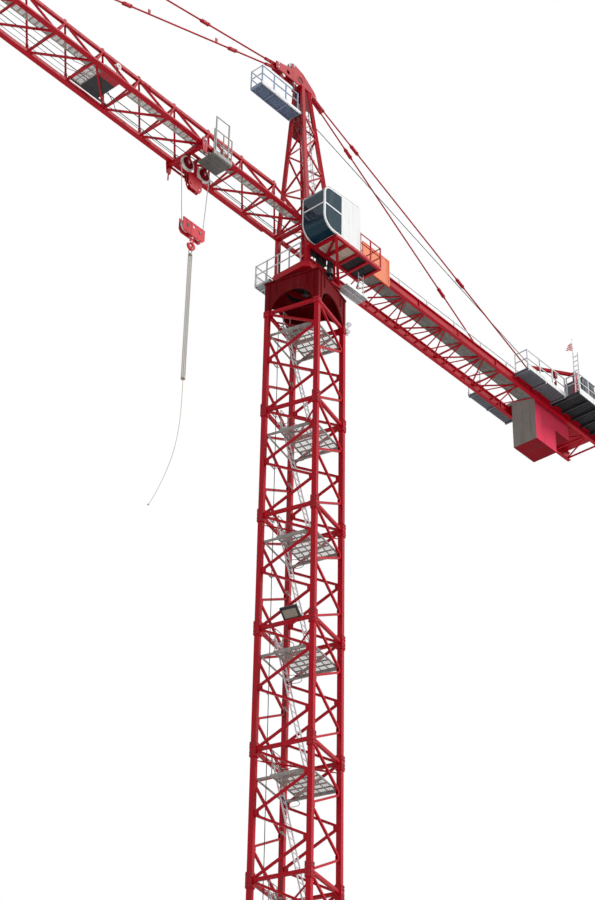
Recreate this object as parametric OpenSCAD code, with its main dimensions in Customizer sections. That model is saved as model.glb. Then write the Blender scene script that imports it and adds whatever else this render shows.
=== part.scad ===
// Tower crane, scale model 1:2. Millimetres, +Z up, the jib along +X, the cab on the +Y side.
// The origin is on the underside of the base frame, on the axis of the tower.

/* [Tower] */
// Height of one tower section
section_h = 2500; // [2000:50:3000]
// Number of tower sections
sections = 6; // [4:1:7]
// Distance between the centres of two tower legs
tower_w = 1158; // [1100:2:1200]
// Width of a square tower leg
leg_w = 100; // [80:2:120]
// Width of a connecting sleeve on a leg
sleeve_w = 130; // [124:2:140]
// Height of a connecting sleeve
sleeve_h = 300; // [200:10:400]
// Width of a zigzag bar of the tower
tower_bar = 44; // [30:2:50]
// Width of the level bar at each joint of the tower
tower_tie = 64; // [50:2:70]
// Turn of the tower from the line of the jib
tower_turn = 13.8; // [0:0.2:30]
// Height of the base frame
base_h = 200; // [160:10:300]

/* [Top of the tower] */
// Height of the arched box that carries the slewing ring
support_h = 775; // [700:25:850]
// Thickness of its plates
support_t = 30; // [20:2:50]
// Outer radius of the slewing ring
ring_r = 540; // [500:5:560]
// Number of teeth round the slewing ring
ring_teeth = 96; // [72:4:112]
// Height of the turntable
turn_h = 150; // [120:10:180]
// Height of one race of the slewing ring
race_h = 60; // [40:2:80]
// Height from the tower top to the centre of the jib's lower chords
chord_up = 2130; // [2100:10:2200]

/* [Jib] */
// Length of one panel of the jib
panel = 1025; // [950:5:1050]
// Number of panels
panels = 24; // [20:1:26]
// Distance between the centres of the lower chords
jib_w = 832; // [800:2:860]
// Height from the lower chords to the top chord
jib_h = 900; // [800:10:1000]
// Width of a lower chord
chord_w = 80; // [70:2:90]
// Width of the top chord
top_w = 70; // [60:2:80]
// Place of the first lower node from the slewing axis
jib_x0 = 570; // [560:5:600]
// Width of a bar of the jib's sides
jib_bar = 38; // [30:2:44]
// Width of the walkway in the jib
walk_w = 170; // [140:10:200]

/* [Tower head] */
// Height of the tie pins above the tower top
head_up = 6500; // [6300:50:6700]

/* [Counter-jib] */
// Length of the counter-jib from the slewing axis
counter_len = 10440; // [10300:20:11200]
// Height of the handrails
rail_h = 540; // [500:10:600]
// Height of a counter-jib beam
beam_h = 230; // [210:5:260]
// Height of the tops of the beams above the jib's lower chords
beam_up = 170; // [150:5:190]
// Half of the distance between the outer faces of the beams
beam_y = 500; // [480:5:520]

/* [Cab] */
// Length of the cab at its widest
cab_len = 1180; // [1100:10:1250]
// Width of the cab
cab_w = 615; // [580:5:660]
// Height of the cab
cab_h = 1190; // [1150:10:1250]

/* [Trolley and hook] */
// Place of the hook from the slewing axis
hook_x = 3450; // [3100:5:4500]
// Height of the top of the hook block above the tower top
hook_up = 360; // [200:10:500]
// Radius of the trolley's rope sheaves
sheave_r = 172; // [150:1:174]
// Radius of the hook block's rope sheaves
block_r = 130; // [120:1:134]

/* [Hidden] */

tower_top = base_h + sections * section_h;
half = tower_w / 2;
bay = section_h / 4;
chord_z = tower_top + chord_up;
race_z = tower_top + support_h;
race_gap = 5;
turn_z = race_z + 2 * race_h + race_gap;
deck_z = turn_z + turn_h;
deck_y = -940;
head_z = tower_top + head_up;
post_f = 450;
post_r = -375;
post_w = 90;
leg_y = jib_w / 2;
turn_f = post_f + 130;
turn_r = post_r - 245;
turn_y = leg_y + 104;
head_front = 360;
head_rear = 160;
head_half = 110;
arm_x = 1130;
pulley_x = 620;
top_z = chord_z + jib_h;
jib_end = jib_x0 + panels * panel;
rail_x0 = 900;
tie_short = 9;
tie_long = 16;
eye_w = 40;
axle_r = 18;
tie_pin_r = 16;
tie_pin_z = top_z + top_w / 2 + 60;
beam_top = chord_z + beam_up;
beam_bot = beam_top - beam_h;
flange_w = 90;
flange_t = 18;
web_t = 14;
web_y = beam_y - flange_w / 2;
ballast_x = -counter_len + 2560;
counter_tie_x = ballast_x - 720;
walk_x = ballast_x + 180;
winch_k = 5;
landing_drop = 530;
walk_z = beam_bot + 101;
side_x0 = ballast_x + 1000;
side_x1 = ballast_x - 540;
side_y = beam_y + 370;
rear_y = beam_y + 755;
drum_x = -counter_len + 560;
drum_z = beam_top + 300;
mast_x = side_x1 - 180;
mast_y = rear_y - 215;
cab_y0 = max(leg_y + post_w / 2, beam_y) + 6;
cab_z0 = chord_z - 575;
cab_rear = -456;
cab_front = cab_rear + cab_len;
rope_r = 9;
groove = 15;
bracket_y = jib_w / 2 + chord_w / 2 + 50;
sheave_z = chord_z - 305;
sheave_gap = 236;
hook_top = tower_top + hook_up;
block_z = hook_top - 150;
block_gap = 170;
rope_d1 = sheave_r - groove + rope_r + 0.6;
rope_d2 = block_r - groove + rope_r + 0.6;
fall_a = atan2(sheave_gap - block_gap, sheave_z - block_z)
    + asin((rope_d1 - rope_d2) / norm([sheave_gap - block_gap, sheave_z - block_z]));

// A straight square or flat bar between two points; t is its thickness across
module bar(p, q, w, t = 0) {
    d = q - p;
    len = norm(d);
    b = t > 0 ? t : w;
    translate(p) rotate([0, acos(d[2] / len), atan2(d[1], d[0])])
        translate([-w / 2, -b / 2, 0]) cube([w, b, len]);
}

// A straight round bar between two points
module rod(p, q, d, sides = 16) {
    v = q - p;
    len = norm(v);
    translate(p) rotate([0, acos(v[2] / len), atan2(v[1], v[0])])
        cylinder(h = len, d = d, $fn = sides);
}

// A block given by its lowest and highest corners
module block(a, b) {
    translate(a) cube(b - a);
}

// A cylinder along Y, centred on its middle
module across(r, w, hole = 0) {
    rotate([90, 0, 0]) difference() {
        cylinder(h = w, r = r, center = true, $fn = 48);
        if (hole > 0) cylinder(h = w + 2, r = hole, center = true, $fn = 32);
    }
}

// A grooved rope sheave with its axle along Y
module sheave(r, w, bore) {
    rotate([90, 0, 0]) difference() {
        rotate_extrude($fn = 64)
            polygon([[bore, -w / 2], [bore + 24, -w / 2], [bore + 24, -w / 4], [r - 30, -w / 4],
                [r - 22, -w / 2], [r, -w / 2], [r - groove, -4], [r - groove, 4], [r, w / 2],
                [r - 22, w / 2], [r - 30, w / 4], [bore + 24, w / 4], [bore + 24, w / 2],
                [bore, w / 2]]);
        if (r > 125) for (i = [0:5]) rotate(60 * i) translate([(r + bore) / 2, 0, -w])
            cylinder(h = 2 * w, r = (r - bore) / 5, $fn = 32);
    }
}

// The outline of a toothed wheel with n teeth between the radii a and b
module teeth(n, a, b) {
    polygon([for (i = [0:n - 1], c = [[a, -0.3], [b, -0.14], [b, 0.14], [a, 0.3]])
        let (t = 360 / n * (i + c[1])) [c[0] * cos(t), c[0] * sin(t)]]);
}

// A row of square posts and two rails along X, from x0 to x1, on the level z
module rail_along(x0, x1, y, z, n, h) {
    for (i = [0:n]) let (x = x0 + 12 + (x1 - x0 - 24) * i / n)
        block([x - 12, y - 12, z], [x + 12, y + 12, z + h]);
    for (q = [h / 2, h - 24]) block([x0, y - 9, z + q], [x1, y + 9, z + q + 20]);
}

// The same along Y
module rail_across(y0, y1, x, z, n, h) {
    for (i = [0:n]) let (y = y0 + 12 + (y1 - y0 - 24) * i / n)
        block([x - 12, y - 12, z], [x + 12, y + 12, z + h]);
    for (q = [h / 2, h - 24]) block([x - 9, y0, z + q], [x + 9, y1, z + q + 20]);
}

// A fork of two lugs with its pin; the pin is 60 above the seat
module fork(p) {
    translate(p) {
        for (s = [-1, 1]) translate([-52, s * (eye_w / 2 + 6) - 6, 0]) cube([104, 12, 95]);
        translate([0, 0, 60]) across(tie_pin_r, eye_w + 24);
    }
}

// A foot plate with its bolt holes, drawn on the diagonal at angle a
module foot(a) {
    rotate(a) translate([sqrt(2) * half, 0, 0]) difference() {
        translate([-180, -180, 0]) cube([360, 360, 30]);
        for (i = [0:3]) rotate(45 + 90 * i) translate([150, 0, -1])
            cylinder(h = 32, r = 13, $fn = 24);
    }
}

module base_frame() {
    color("firebrick") rotate(tower_turn) union() {
        for (a = [45, 135]) rotate(a)
            translate([-1050, -80, 0]) cube([2100, 160, base_h]);
        for (i = [0:3]) foot(45 + 90 * i);
        translate([-200, -200, 0]) cube([400, 400, base_h]);
    }
}

// One leg, a square tube with a sleeve at each joint
module leg(sx, sy) {
    translate([sx * half, sy * half, 0]) {
        translate([-leg_w / 2, -leg_w / 2, base_h]) cube([leg_w, leg_w, tower_top - base_h]);
        for (k = [0:sections]) {
            z0 = max(base_h, base_h + k * section_h - sleeve_h / 2);
            z1 = min(tower_top, base_h + k * section_h + sleeve_h / 2);
            translate([-sleeve_w / 2, -sleeve_w / 2, z0]) cube([sleeve_w, sleeve_w, z1 - z0]);
        }
    }
}

function landing_z(k) = base_h + k * section_h - landing_drop;

module legs() {
    for (sx = [-1, 1], sy = [-1, 1]) leg(sx, sy);
}

module tower_legs() {
    color("crimson") rotate(tower_turn) legs();
}

// The bars of one side, drawn on the side at +X: u runs along Y, the first leg is at -Y
module side_bars() {
    for (k = [0:sections]) {
        z = min(max(base_h + k * section_h, base_h + tower_tie / 2), tower_top - tower_tie / 2);
        bar([half, -half, z], [half, half, z], tower_tie);
    }
    for (k = [0:4 * sections - 1]) {
        u = k % 2 == 0 ? -half : half;
        z0 = base_h + k * bay + (k == 0 ? tower_bar : 0);
        z1 = base_h + (k + 1) * bay - (k == 4 * sections - 1 ? tower_bar : 0);
        bar([half, u, z0], [half, -u, z1], tower_bar);
    }
}

module tower_side(i) {
    color("crimson") rotate(tower_turn + 90 * i) difference() {
        side_bars();
        legs();
    }
}

module tower_side_1() { tower_side(0); }
module tower_side_2() { tower_side(1); }
module tower_side_3() { tower_side(2); }
module tower_side_4() { tower_side(3); }

// A grated landing a little below each joint, open on the side where the ladders pass
module rest_platforms() {
    inner = half - tower_tie / 2;
    color("silver") rotate(tower_turn) for (k = [1:sections]) translate([0, 0, landing_z(k)])
        difference() {
            union() {
                translate([-inner, -260, -24]) cube([2 * inner, 260 + inner, 24]);
                for (s = [-1, 1]) translate([s * (inner - 20) - 20, -inner, -60]) cube([40, 2 * inner, 37]);
                translate([-inner, -inner, -54]) cube([2 * inner, 24, 30]);
            }
            for (i = [0:5], j = [0:4]) translate([-500 + 170 * i, -240 + 155 * j, -25]) cube([150, 135, 26]);
            translate([0, 0, -landing_z(k)]) legs();
        }
}

// Leaning ladders inside the tower: each stands on a landing and passes the next one's edge
module tower_ladders() {
    inner = half - tower_tie / 2;
    top_y = -470;
    lean = 0.236;
    color("gainsboro") rotate(tower_turn) for (k = [0:sections - 1]) {
        z0 = (k == 0 ? base_h : landing_z(k)) + 4;
        z1 = base_h + (k + 1) * section_h + (k == sections - 1 ? -4 : 30);
        foot_y = top_y + lean * (z1 - z0);
        for (x = [-100, 100]) {
            bar([x, foot_y, z0], [x, top_y, z1], 24);
            translate([x - 12, -inner, z1 - 60]) cube([24, inner + top_y + 8, 24]);
        }
        for (i = [1:floor((z1 - z0 - 60) / 145)])
            translate([-100, foot_y - lean * i * 145 - 7, z0 + i * 145 - 7]) cube([200, 14, 14]);
    }
}

// A plate with a round arch cut in its lower edge
module arched_plate() {
    w = 2 * half + leg_w;
    rotate([90, 0, 90]) linear_extrude(support_t) difference() {
        translate([-w / 2, 0]) square([w, support_h]);
        translate([0, -88]) circle(r = 0.63 * support_h, $fn = 96);
    }
}

module ring_support() {
    out = half + leg_w / 2;
    color("darkred") translate([0, 0, tower_top]) rotate(tower_turn) difference() {
        union() {
            for (a = [0:90:270]) rotate(a) {
                translate([out - support_t, 0, 0]) arched_plate();
                translate([half - leg_w / 2, half - leg_w / 2, 0]) cube([leg_w, leg_w, 60]);
                translate([out - 70, -out, support_h - support_t - 24]) cube([90, 2 * out, 24]);
            }
            translate([-out, -out, support_h - support_t]) cube([2 * out, 2 * out, support_t]);
        }
        translate([0, 0, support_h - support_t - 1])
            cylinder(h = support_t + 2, r = ring_r - 110, $fn = 96);
    }
}

// The toothed lower race; the slewing motors' pinions stand beside its teeth
module fixed_race() {
    color("dimgray") translate([0, 0, race_z]) linear_extrude(race_h) difference() {
        teeth(ring_teeth, ring_r - 16, ring_r);
        circle(r = ring_r - 110, $fn = 96);
    }
}

module turning_race() {
    color("gray") translate([0, 0, race_z + race_h + race_gap]) linear_extrude(race_h)
        difference() {
            circle(r = ring_r - 20, $fn = 96);
            circle(r = ring_r - 110, $fn = 96);
            for (i = [0:23]) rotate(15 * i + 7.5) translate([ring_r - 60, 0]) circle(r = 11, $fn = 20);
        }
}

module turntable() {
    c = 110;
    color("darkred") translate([0, 0, turn_z]) difference() {
        linear_extrude(turn_h) difference() {
            polygon([[turn_r, c - turn_y], [turn_r + c, -turn_y], [turn_f - c, -turn_y],
                [turn_f, c - turn_y], [turn_f, turn_y - c], [turn_f - c, turn_y],
                [turn_r + c, turn_y], [turn_r, turn_y - c]]);
            circle(r = ring_r - 130, $fn = 96);
        }
        for (s = [-1, 1]) translate([-150, s * turn_y - 20, 35]) cube([360, 40, turn_h - 70]);
    }
}

// Two upright motors on brackets, each with its pinion beside the ring's teeth
module slewing_motors() {
    y = ring_r + 75;
    color("black") for (s = [-1, 1]) translate([-60, s * y, 0]) {
        translate([0, 0, race_z + 8]) linear_extrude(race_h - 8) teeth(16, 44, 60);
        translate([0, 0, race_z + race_h]) cylinder(h = turn_z + 40 - race_z - race_h, r = 24, $fn = 32);
        translate([0, 0, turn_z + 40]) cylinder(h = 120, r = 78, $fn = 48);
        translate([0, 0, turn_z + 160]) cylinder(h = 30, r = 62, $fn = 48);
        for (i = [0:5]) translate([0, 0, turn_z + 196 + 22 * i]) cylinder(h = 12, r = 66, $fn = 48);
        translate([0, 0, turn_z + 190]) cylinder(h = 140, r = 54, $fn = 48);
        translate([0, 0, turn_z + 330]) cylinder(h = 30, r = 60, $fn = 48);
        for (x = [-70, 46]) translate([x, s > 0 ? turn_y - y : 0, turn_z + 60])
            cube([24, y - turn_y, 60]);
    }
}

// The railed grating on the far side of the turntable, its rail carried round the front
module slewing_deck() {
    x0 = post_r - 25;
    color("silver") {
        difference() {
            block([x0, deck_y, deck_z - 24], [turn_f, -turn_y, deck_z]);
            block([-155, -turn_y - 190, deck_z - 30], [35, 10 - turn_y, deck_z + 6]);
        }
        for (x = [x0 + 60, 90, turn_f - 160]) translate([x - 12, 0, deck_z - 24]) rotate([90, 0, 90])
            linear_extrude(24) polygon([[deck_y, 0], [-turn_y, 0], [-turn_y, -100], [deck_y, -30]]);
        rail_along(x0, turn_f, deck_y + 12, deck_z, 3, rail_h);
        rail_across(deck_y, 350, turn_f - 12, deck_z, 4, rail_h);
        block([x0, deck_y - 8, deck_z - 24], [turn_f, deck_y, deck_z + 70]);
    }
}

module head_posts() {
    color("crimson") {
        for (x = [post_f, post_r], s = [-1, 1]) {
            block([x - post_w / 2, s * leg_y - post_w / 2, deck_z],
                [x + post_w / 2, s * leg_y + post_w / 2, chord_z + 60]);
            block([x - 80, s * leg_y - 80, deck_z], [x + 80, s * leg_y + 80, deck_z + 25]);
        }
        for (s = [-1, 1])
            block([post_r + post_w / 2, s * leg_y - 36, chord_z - 40],
                [post_f - post_w / 2, s * leg_y + 36, chord_z + 40]);
        for (x = [post_f, post_r])
            block([x - 36, -leg_y + post_w / 2, chord_z - 40],
                [x + 36, leg_y - post_w / 2, chord_z + 40]);
    }
}

function leg_at(x0, x1, s, z) = let (t = (z - chord_z - 60) / (head_z - 210 - chord_z))
    [x0 + t * (x1 - x0), s * (leg_y + t * (head_half - leg_y)), z];

module head_leg_bars(w) {
    z0 = chord_z + 60;
    z1 = head_z - 150;
    for (s = [-1, 1]) {
        bar(leg_at(post_f, head_front, s, z0), leg_at(post_f, head_front, s, z1), w);
        bar(leg_at(post_r, head_rear, s, z0), leg_at(post_r, head_rear, s, z1), w);
    }
}

module head_legs() {
    color("crimson") intersection() {
        head_leg_bars(76);
        block([-2000, -2000, chord_z + 60], [2000, 2000, head_z - 170]);
    }
}

// Zigzag bars on the four sides of the head
module head_bracing() {
    n = 6;
    z = [for (i = [0:n]) chord_z + 140 + i * (head_z - 1100 - chord_z) / n];
    f = [post_f, head_front];
    r = [post_r, head_rear];
    color("crimson") difference() {
        for (i = [0:n - 1]) {
            a = i % 2 == 0 ? f : r;
            b = i % 2 == 0 ? r : f;
            for (s = [-1, 1]) bar(leg_at(a[0], a[1], s, z[i]), leg_at(b[0], b[1], s, z[i + 1]), 34);
            for (c = [f, r]) let (s = i % 2 == 0 ? -1 : 1)
                bar(leg_at(c[0], c[1], s, z[i]), leg_at(c[0], c[1], -s, z[i + 1]), 34);
        }
        head_leg_bars(76);
    }
}

// The head: two cheek plates with arms toward the jib, on the plate that caps the legs
module head_plates() {
    z = head_z;
    color("crimson") {
        block([60, -150, z - 170], [440, 150, z - 120]);
        for (s = [-1, 1]) translate([0, s * 60 + 12, 0]) rotate([90, 0, 0]) linear_extrude(24)
            difference() {
                polygon([[60, z - 120], [420, z - 120], [560, z - 110], [arm_x + 70, z - 120],
                    [arm_x + 70, z + 80], [700, z + 210], [660, z + 400], [560, z + 400],
                    [300, z + 330], [-90, z + 60], [-170, z - 50], [-170, z - 125], [-120, z - 150]]);
                translate([400, z + 70]) circle(r = 90, $fn = 48);
                translate([800, z + 20]) circle(r = 60, $fn = 48);
            }
        for (zz = [z + 40, z - 65]) translate([arm_x, 0, zz]) across(tie_pin_r, 96);
        translate([-120, 0, z - 100]) across(tie_pin_r, 150);
        translate([pulley_x, 0, z + 330]) across(axle_r, 96);
    }
}

module head_pulley() {
    color("dimgray") translate([pulley_x, 0, head_z + 330]) sheave(115, 60, axle_r + 0.05);
}

// The railed platform that stands out from the head under its arms
module head_platform() {
    x0 = 470;
    x1 = 1750;
    z = head_z - 1050;
    y = 163;
    color("silver") {
        block([x0, -175, z], [x1, 175, z + 24]);
        for (s = [-1, 1]) rail_along(x0 + 90, x1, s * y, z + 24, 3, 500);
        for (q = [250, 476]) block([x1 - 20, 10 - y, z + 24 + q], [x1, y - 10, z + 44 + q]);
        difference() {
            for (s = [-1, 1]) bar([x0, s * y, z + 12], [x0 - 70, s * y, z + 12], 24);
            head_leg_bars(76);
        }
    }
}

// The nodes of the jib's lattice: k counts the panels from the tower
function low(k, s) = [jib_x0 + k * panel, s * jib_w / 2, chord_z];
function apex(k) = [jib_x0 + (k + 0.5) * panel, 0, top_z];

module lower_chord(s) {
    block([post_f + post_w / 2, s * jib_w / 2 - chord_w / 2, chord_z - chord_w / 2],
        [jib_end + 60, s * jib_w / 2 + chord_w / 2, chord_z + chord_w / 2]);
}

module top_chord() {
    translate([apex(0)[0] - 40, -top_w / 2, top_z - top_w / 2])
        cube([(panels - 1) * panel + 80, top_w, top_w]);
}

// The lower chords, each with the ledge on which the trolley's wheels run
module jib_lower_chords() {
    z = chord_z - chord_w / 2;
    y = (jib_w + chord_w) / 2;
    color("crimson") for (s = [-1, 1]) {
        lower_chord(s);
        block([rail_x0, s * y - (s < 0 ? 34 : 0), z], [jib_end + 60, s * y + (s > 0 ? 34 : 0), z + 14]);
    }
}

module jib_top_chord() {
    color("crimson") {
        top_chord();
        for (k = [0:panels - 1]) if (k != tie_short && k != tie_long)
            translate([apex(k)[0] - 30, -10, top_z + top_w / 2]) cube([60, 20, 70]);
        for (k = [tie_short, tie_long]) fork([apex(k)[0], 0, top_z + top_w / 2]);
    }
}

module jib_side(s) {
    color("crimson") difference() {
        intersection() {
            for (k = [0:panels - 1]) {
                bar(low(k, s), apex(k), jib_bar);
                bar(apex(k), low(k + 1, s), jib_bar);
            }
            block([0, s > 0 ? 0 : -1000, 0], [jib_end + 200, s > 0 ? 1000 : 0, top_z + 100]);
        }
        lower_chord(s);
        top_chord();
    }
}

module jib_side_near() { jib_side(1); }
module jib_side_far() { jib_side(-1); }

module jib_floor_bracing() {
    color("crimson") difference() {
        for (k = [0:panels]) {
            bar(low(k, -1), low(k, 1), jib_bar);
            if (k > 0) let (s = k == winch_k + 1 ? -1 : 1)
                bar(low(k, -s), low(k - 1, s), jib_bar);
        }
        for (s = [-1, 1]) lower_chord(s);
    }
}

// The narrow grating inside the near chord; a wide one crosses the jib before the trolley winch
module jib_walkway() {
    y1 = jib_w / 2 - chord_w / 2 - 26;
    z = chord_z + jib_bar / 2;
    xa = low(winch_k, 0)[0];
    xb = xa + panel;
    color("silver") difference() {
        union() {
            block([jib_x0 - 20, y1 - walk_w, z], [xa - 3, y1, z + 12]);
            block([xb - 3, y1 - walk_w, z], [jib_end, y1, z + 12]);
            block([xa + 745, -290, z], [xb + 5, 290, z + 12]);
        }
        for (k = [0:panels - 1], i = [0:5]) if (k != winch_k)
            translate([low(k, 1)[0] + 110 + 148 * i, y1 - walk_w + 20, z - 1]) cube([110, walk_w - 40, 14]);
        for (i = [0:1], j = [0:3]) translate([xa + 765 + 135 * i, -270 + 140 * j, z - 1]) cube([115, 120, 14]);
    }
}

module jib_tip() {
    x = jib_end + 60;
    y = (jib_w + chord_w) / 2;
    color("crimson") {
        block([x, -y, chord_z - 60], [x + 40, y, chord_z + 60]);
        for (s = [-1, 1]) translate([x + 40, s * 60 + 10, chord_z]) rotate([90, 0, 0]) linear_extrude(20)
            difference() {
                union() {
                    translate([0, -60]) square([130, 120]);
                    translate([130, 0]) circle(r = 60, $fn = 48);
                }
                translate([130, 0]) circle(r = axle_r, $fn = 32);
            }
    }
}

// The winch that pulls the trolley, on a tray in the sixth panel
module trolley_winch() {
    x = low(winch_k, 0)[0];
    z = chord_z + jib_bar / 2;
    color("crimson") {
        for (s = [-1, 1]) block([x + 2, s * 318 - 17, z], [x + panel - 8, s * 318 + 17, z + 30]);
        block([x + 265, -330, z], [x + 745, 180, z + 24]);
        block([x + 265, 175, z], [x + 715, 345, z + 190]);
        for (y = [-110, 110]) translate([x + 490, y + 10, z + 24]) rotate([90, 0, 0]) linear_extrude(20)
            polygon([[-110, 0], [110, 0], [50, 170], [-50, 170]]);
        translate([x + 490, 0, z + 140]) across(80, 202);
        translate([x + 490, 148, z + 140]) across(20, 60);
        translate([x + 490, -205, z + 140]) across(65, 172);
        block([x + 420, -270, z + 24], [x + 560, -140, z + 84]);
    }
}

// A tie rod with a round eye at each end and couplings at the shares c of its length
module tie_rod(p, q, d, c) {
    u = (q - p) / norm(q - p);
    difference() {
        union() {
            rod(p, q, d);
            for (t = c) bar(p + (q - p) * t - 110 * u, p + (q - p) * t + 110 * u, 1.8 * d, 1.4 * d);
            for (e = [p, q]) translate(e) across(34, eye_w);
        }
        for (e = [p, q]) translate(e) across(tie_pin_r, eye_w + 2);
    }
}

module jib_ties() {
    p = [arm_x, 0, head_z - 65];
    q = [apex(tie_short)[0], 0, tie_pin_z];
    color("crimson") {
        tie_rod([arm_x, 0, head_z + 40], [apex(tie_long)[0], 0, tie_pin_z], 38, [0.14, 0.38, 0.62, 0.86]);
        tie_rod(p, q, 38, [0.154, 0.495, 0.83]);
        for (t = [0.209, 0.427]) translate(p + (q - p) * t - [30, 10, 0]) cube([60, 20, 130]);
    }
}

module counter_ties() {
    color("crimson") for (s = [-1, 1])
        tie_rod([-120, s * 24, head_z - 100], [counter_tie_x, s * web_y, beam_top + 60], 34, [0.16, 0.59]);
}

// A beam with stiffening plates between its flanges and a joint plate at mid length
module i_beam(x0, x1, y) {
    translate([x0, y, beam_bot]) rotate([90, 0, 90]) linear_extrude(x1 - x0) {
        translate([-flange_w / 2, 0]) square([flange_w, flange_t]);
        translate([-web_t / 2, 0]) square([web_t, beam_h]);
        translate([-flange_w / 2, beam_h - flange_t]) square([flange_w, flange_t]);
    }
    for (i = [1:6]) let (x = x1 + i * (x0 - x1) / 7)
        block([x - 6, y - flange_w / 2 + 6, beam_bot + 4], [x + 6, y + flange_w / 2 - 6, beam_top - 4]);
}

module counter_beams() {
    color("crimson") for (s = [-1, 1]) {
        i_beam(-counter_len, post_r - post_w / 2, s * web_y);
        fork([counter_tie_x, s * web_y, beam_top]);
    }
}

// Level bars and diagonals between the webs, in front of the ballast and behind it
module counter_bracing() {
    y = web_y - web_t / 2;
    z = beam_bot + 60;
    n = 9;
    x = [for (i = [0:n]) post_r - 300 + i * (ballast_x + 1025 - post_r) / n];
    xr = [for (i = [0:2]) ballast_x - 1480 - i * (counter_len + ballast_x - 1540) / 2];
    color("crimson") difference() {
        for (c = [x, xr]) for (i = [0:len(c) - 1]) {
            bar([c[i], -y - 20, z], [c[i], y + 20, z], 34);
            if (i < len(c) - 1) let (s = i % 2 == 0 ? -1 : 1)
                bar([c[i], s * (y + 20), z], [c[i + 1], -s * (y + 20), z], 28);
        }
        for (s = [-1, 1]) translate([-counter_len, s * (y + 50) - 50, beam_bot])
            cube([counter_len, 100, beam_h]);
    }
}

// The grating along the near half of the counter-jib
module counter_walkway() {
    y = beam_y - flange_w;
    color("silver") block([walk_x, 40, walk_z - 24], [post_r - 200, y, walk_z]);
}

module counter_rails() {
    x1 = post_r - 300;
    color("silver") for (y = [52, beam_y - flange_w - 12]) rail_along(walk_x, x1, y, walk_z, 7, 400);
}

// Concrete blocks hung between the beams by their shoulders: two deep ones, one shorter
module ballast_blocks() {
    y = 332;
    x = ballast_x;
    color("silver") for (b = [[x, x - 370, 1060, x, x - 370], [x - 375, x - 810, 1060, x - 375, x - 590],
            [x - 815, x - 1370, 430, x - 815, x - 1320]]) {
        block([b[1], -y, chord_z - b[2]], [b[0], y, beam_top + 90]);
        block([b[4], -beam_y, beam_top], [b[3], beam_y, beam_top + 90]);
    }
}

// A narrow grating outside each beam, on three brackets, with its toe board
module side_walkway() {
    z = beam_top - 24;
    color("silver") for (s = [0, 1]) mirror([0, s, 0]) {
        block([side_x1, beam_y, z], [side_x0, side_y, beam_top]);
        for (x = [side_x0 - 40, (side_x0 + side_x1) / 2 + 40, side_x1 + 60])
            block([x - 20, web_y + web_t / 2, z - 40], [x + 20, side_y, z]);
        block([side_x1, side_y, z], [side_x0, side_y + 10, beam_top + 90]);
    }
}

// The wide deck beside the hoist, a plate on cross ribs with a white toe board
module rear_platform() {
    z = beam_top - 24;
    color("dimgray") {
        block([-counter_len, beam_y, z], [side_x1, rear_y, beam_top]);
        for (i = [0:5]) let (x = side_x1 - 30 - i * (counter_len + side_x1 - 60) / 5)
            block([x - 20, web_y + web_t / 2, z - 60], [x + 20, rear_y, z]);
        block([-counter_len, rear_y - 30, z - 60], [side_x1, rear_y, z]);
        block([-counter_len, rear_y, z - 60], [side_x1, rear_y + 10, beam_top + 90]);
    }
}

module rear_rails() {
    color("silver") {
        for (s = [0, 1]) mirror([0, s, 0]) {
            rail_along(side_x1, side_x0, side_y - 12, beam_top, 3, rail_h);
            rail_across(beam_y + 6, side_y, side_x0 - 12, beam_top, 1, rail_h);
        }
        rail_along(-counter_len, side_x1, rear_y - 12, beam_top, 5, rail_h);
        rail_across(side_y + 20, rear_y, side_x1 - 12, beam_top, 1, rail_h);
    }
}

// The upright ladder on the wide deck, with the bare pole on its near rail
module access_ladder() {
    x = side_x1 - 110;
    y = rear_y - 173;
    h = 1210;
    color("silver") {
        for (q = [0, 130]) block([x - 12, y + q - 12, beam_top], [x + 12, y + q + 12, beam_top + h]);
        for (i = [1:8]) block([x - 8, y, beam_top + i * 140], [x + 8, y + 130, beam_top + i * 140 + 16]);
        translate([x, y, beam_top + h]) cylinder(h = 470, r = 8, $fn = 16);
    }
}

// A mast with a level arm toward the ballast, and the small chain hoist under the arm
module service_davit() {
    z = chord_z + 820;
    p = [mast_x, mast_y, z];
    q = [ballast_x + 214, beam_y - 88, z];
    c = p + (q - p) * 0.45;
    color("crimson") {
        block([mast_x - 40, mast_y - 40, beam_top], [mast_x + 40, mast_y + 40, z + 80]);
        block([mast_x - 110, mast_y - 90, beam_top], [mast_x + 50, mast_y + 90, beam_top + 20]);
        bar(p, q, 80, 60);
        translate([c[0] - 45, c[1] - 40, z - 180]) cube([90, 80, 150]);
        translate([c[0], c[1], z - 320]) cylinder(h = 150, r = 8, $fn = 16);
        translate([c[0], c[1], z - 380]) cylinder(h = 70, r = 32, $fn = 32);
    }
}

// The hoist's bed, its two bearing stands, gear case and motor
module hoist_frame() {
    h = drum_z - beam_top;
    color("dimgray") {
        block([-counter_len + 100, -beam_y, beam_top], [-counter_len + 1150, beam_y, beam_top + 60]);
        for (s = [-1, 1]) translate([drum_x, s * 340 + 20, beam_top]) rotate([90, 0, 0])
            linear_extrude(40) difference() {
                union() {
                    polygon([[-190, 60], [190, 60], [70, h], [-70, h]]);
                    translate([0, h]) circle(r = 80, $fn = 48);
                }
                translate([0, h]) circle(r = 30.05, $fn = 48);
            }
        translate([drum_x + 380, 0, beam_top + 230]) {
            across(120, 420);
            for (i = [-6:6]) translate([0, i * 28, 0]) across(132, 12);
            translate([-90, -180, -170]) cube([180, 360, 80]);
        }
        block([drum_x + 230, -420, beam_top + 60], [drum_x + 500, -230, beam_top + 330]);
    }
}

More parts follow.
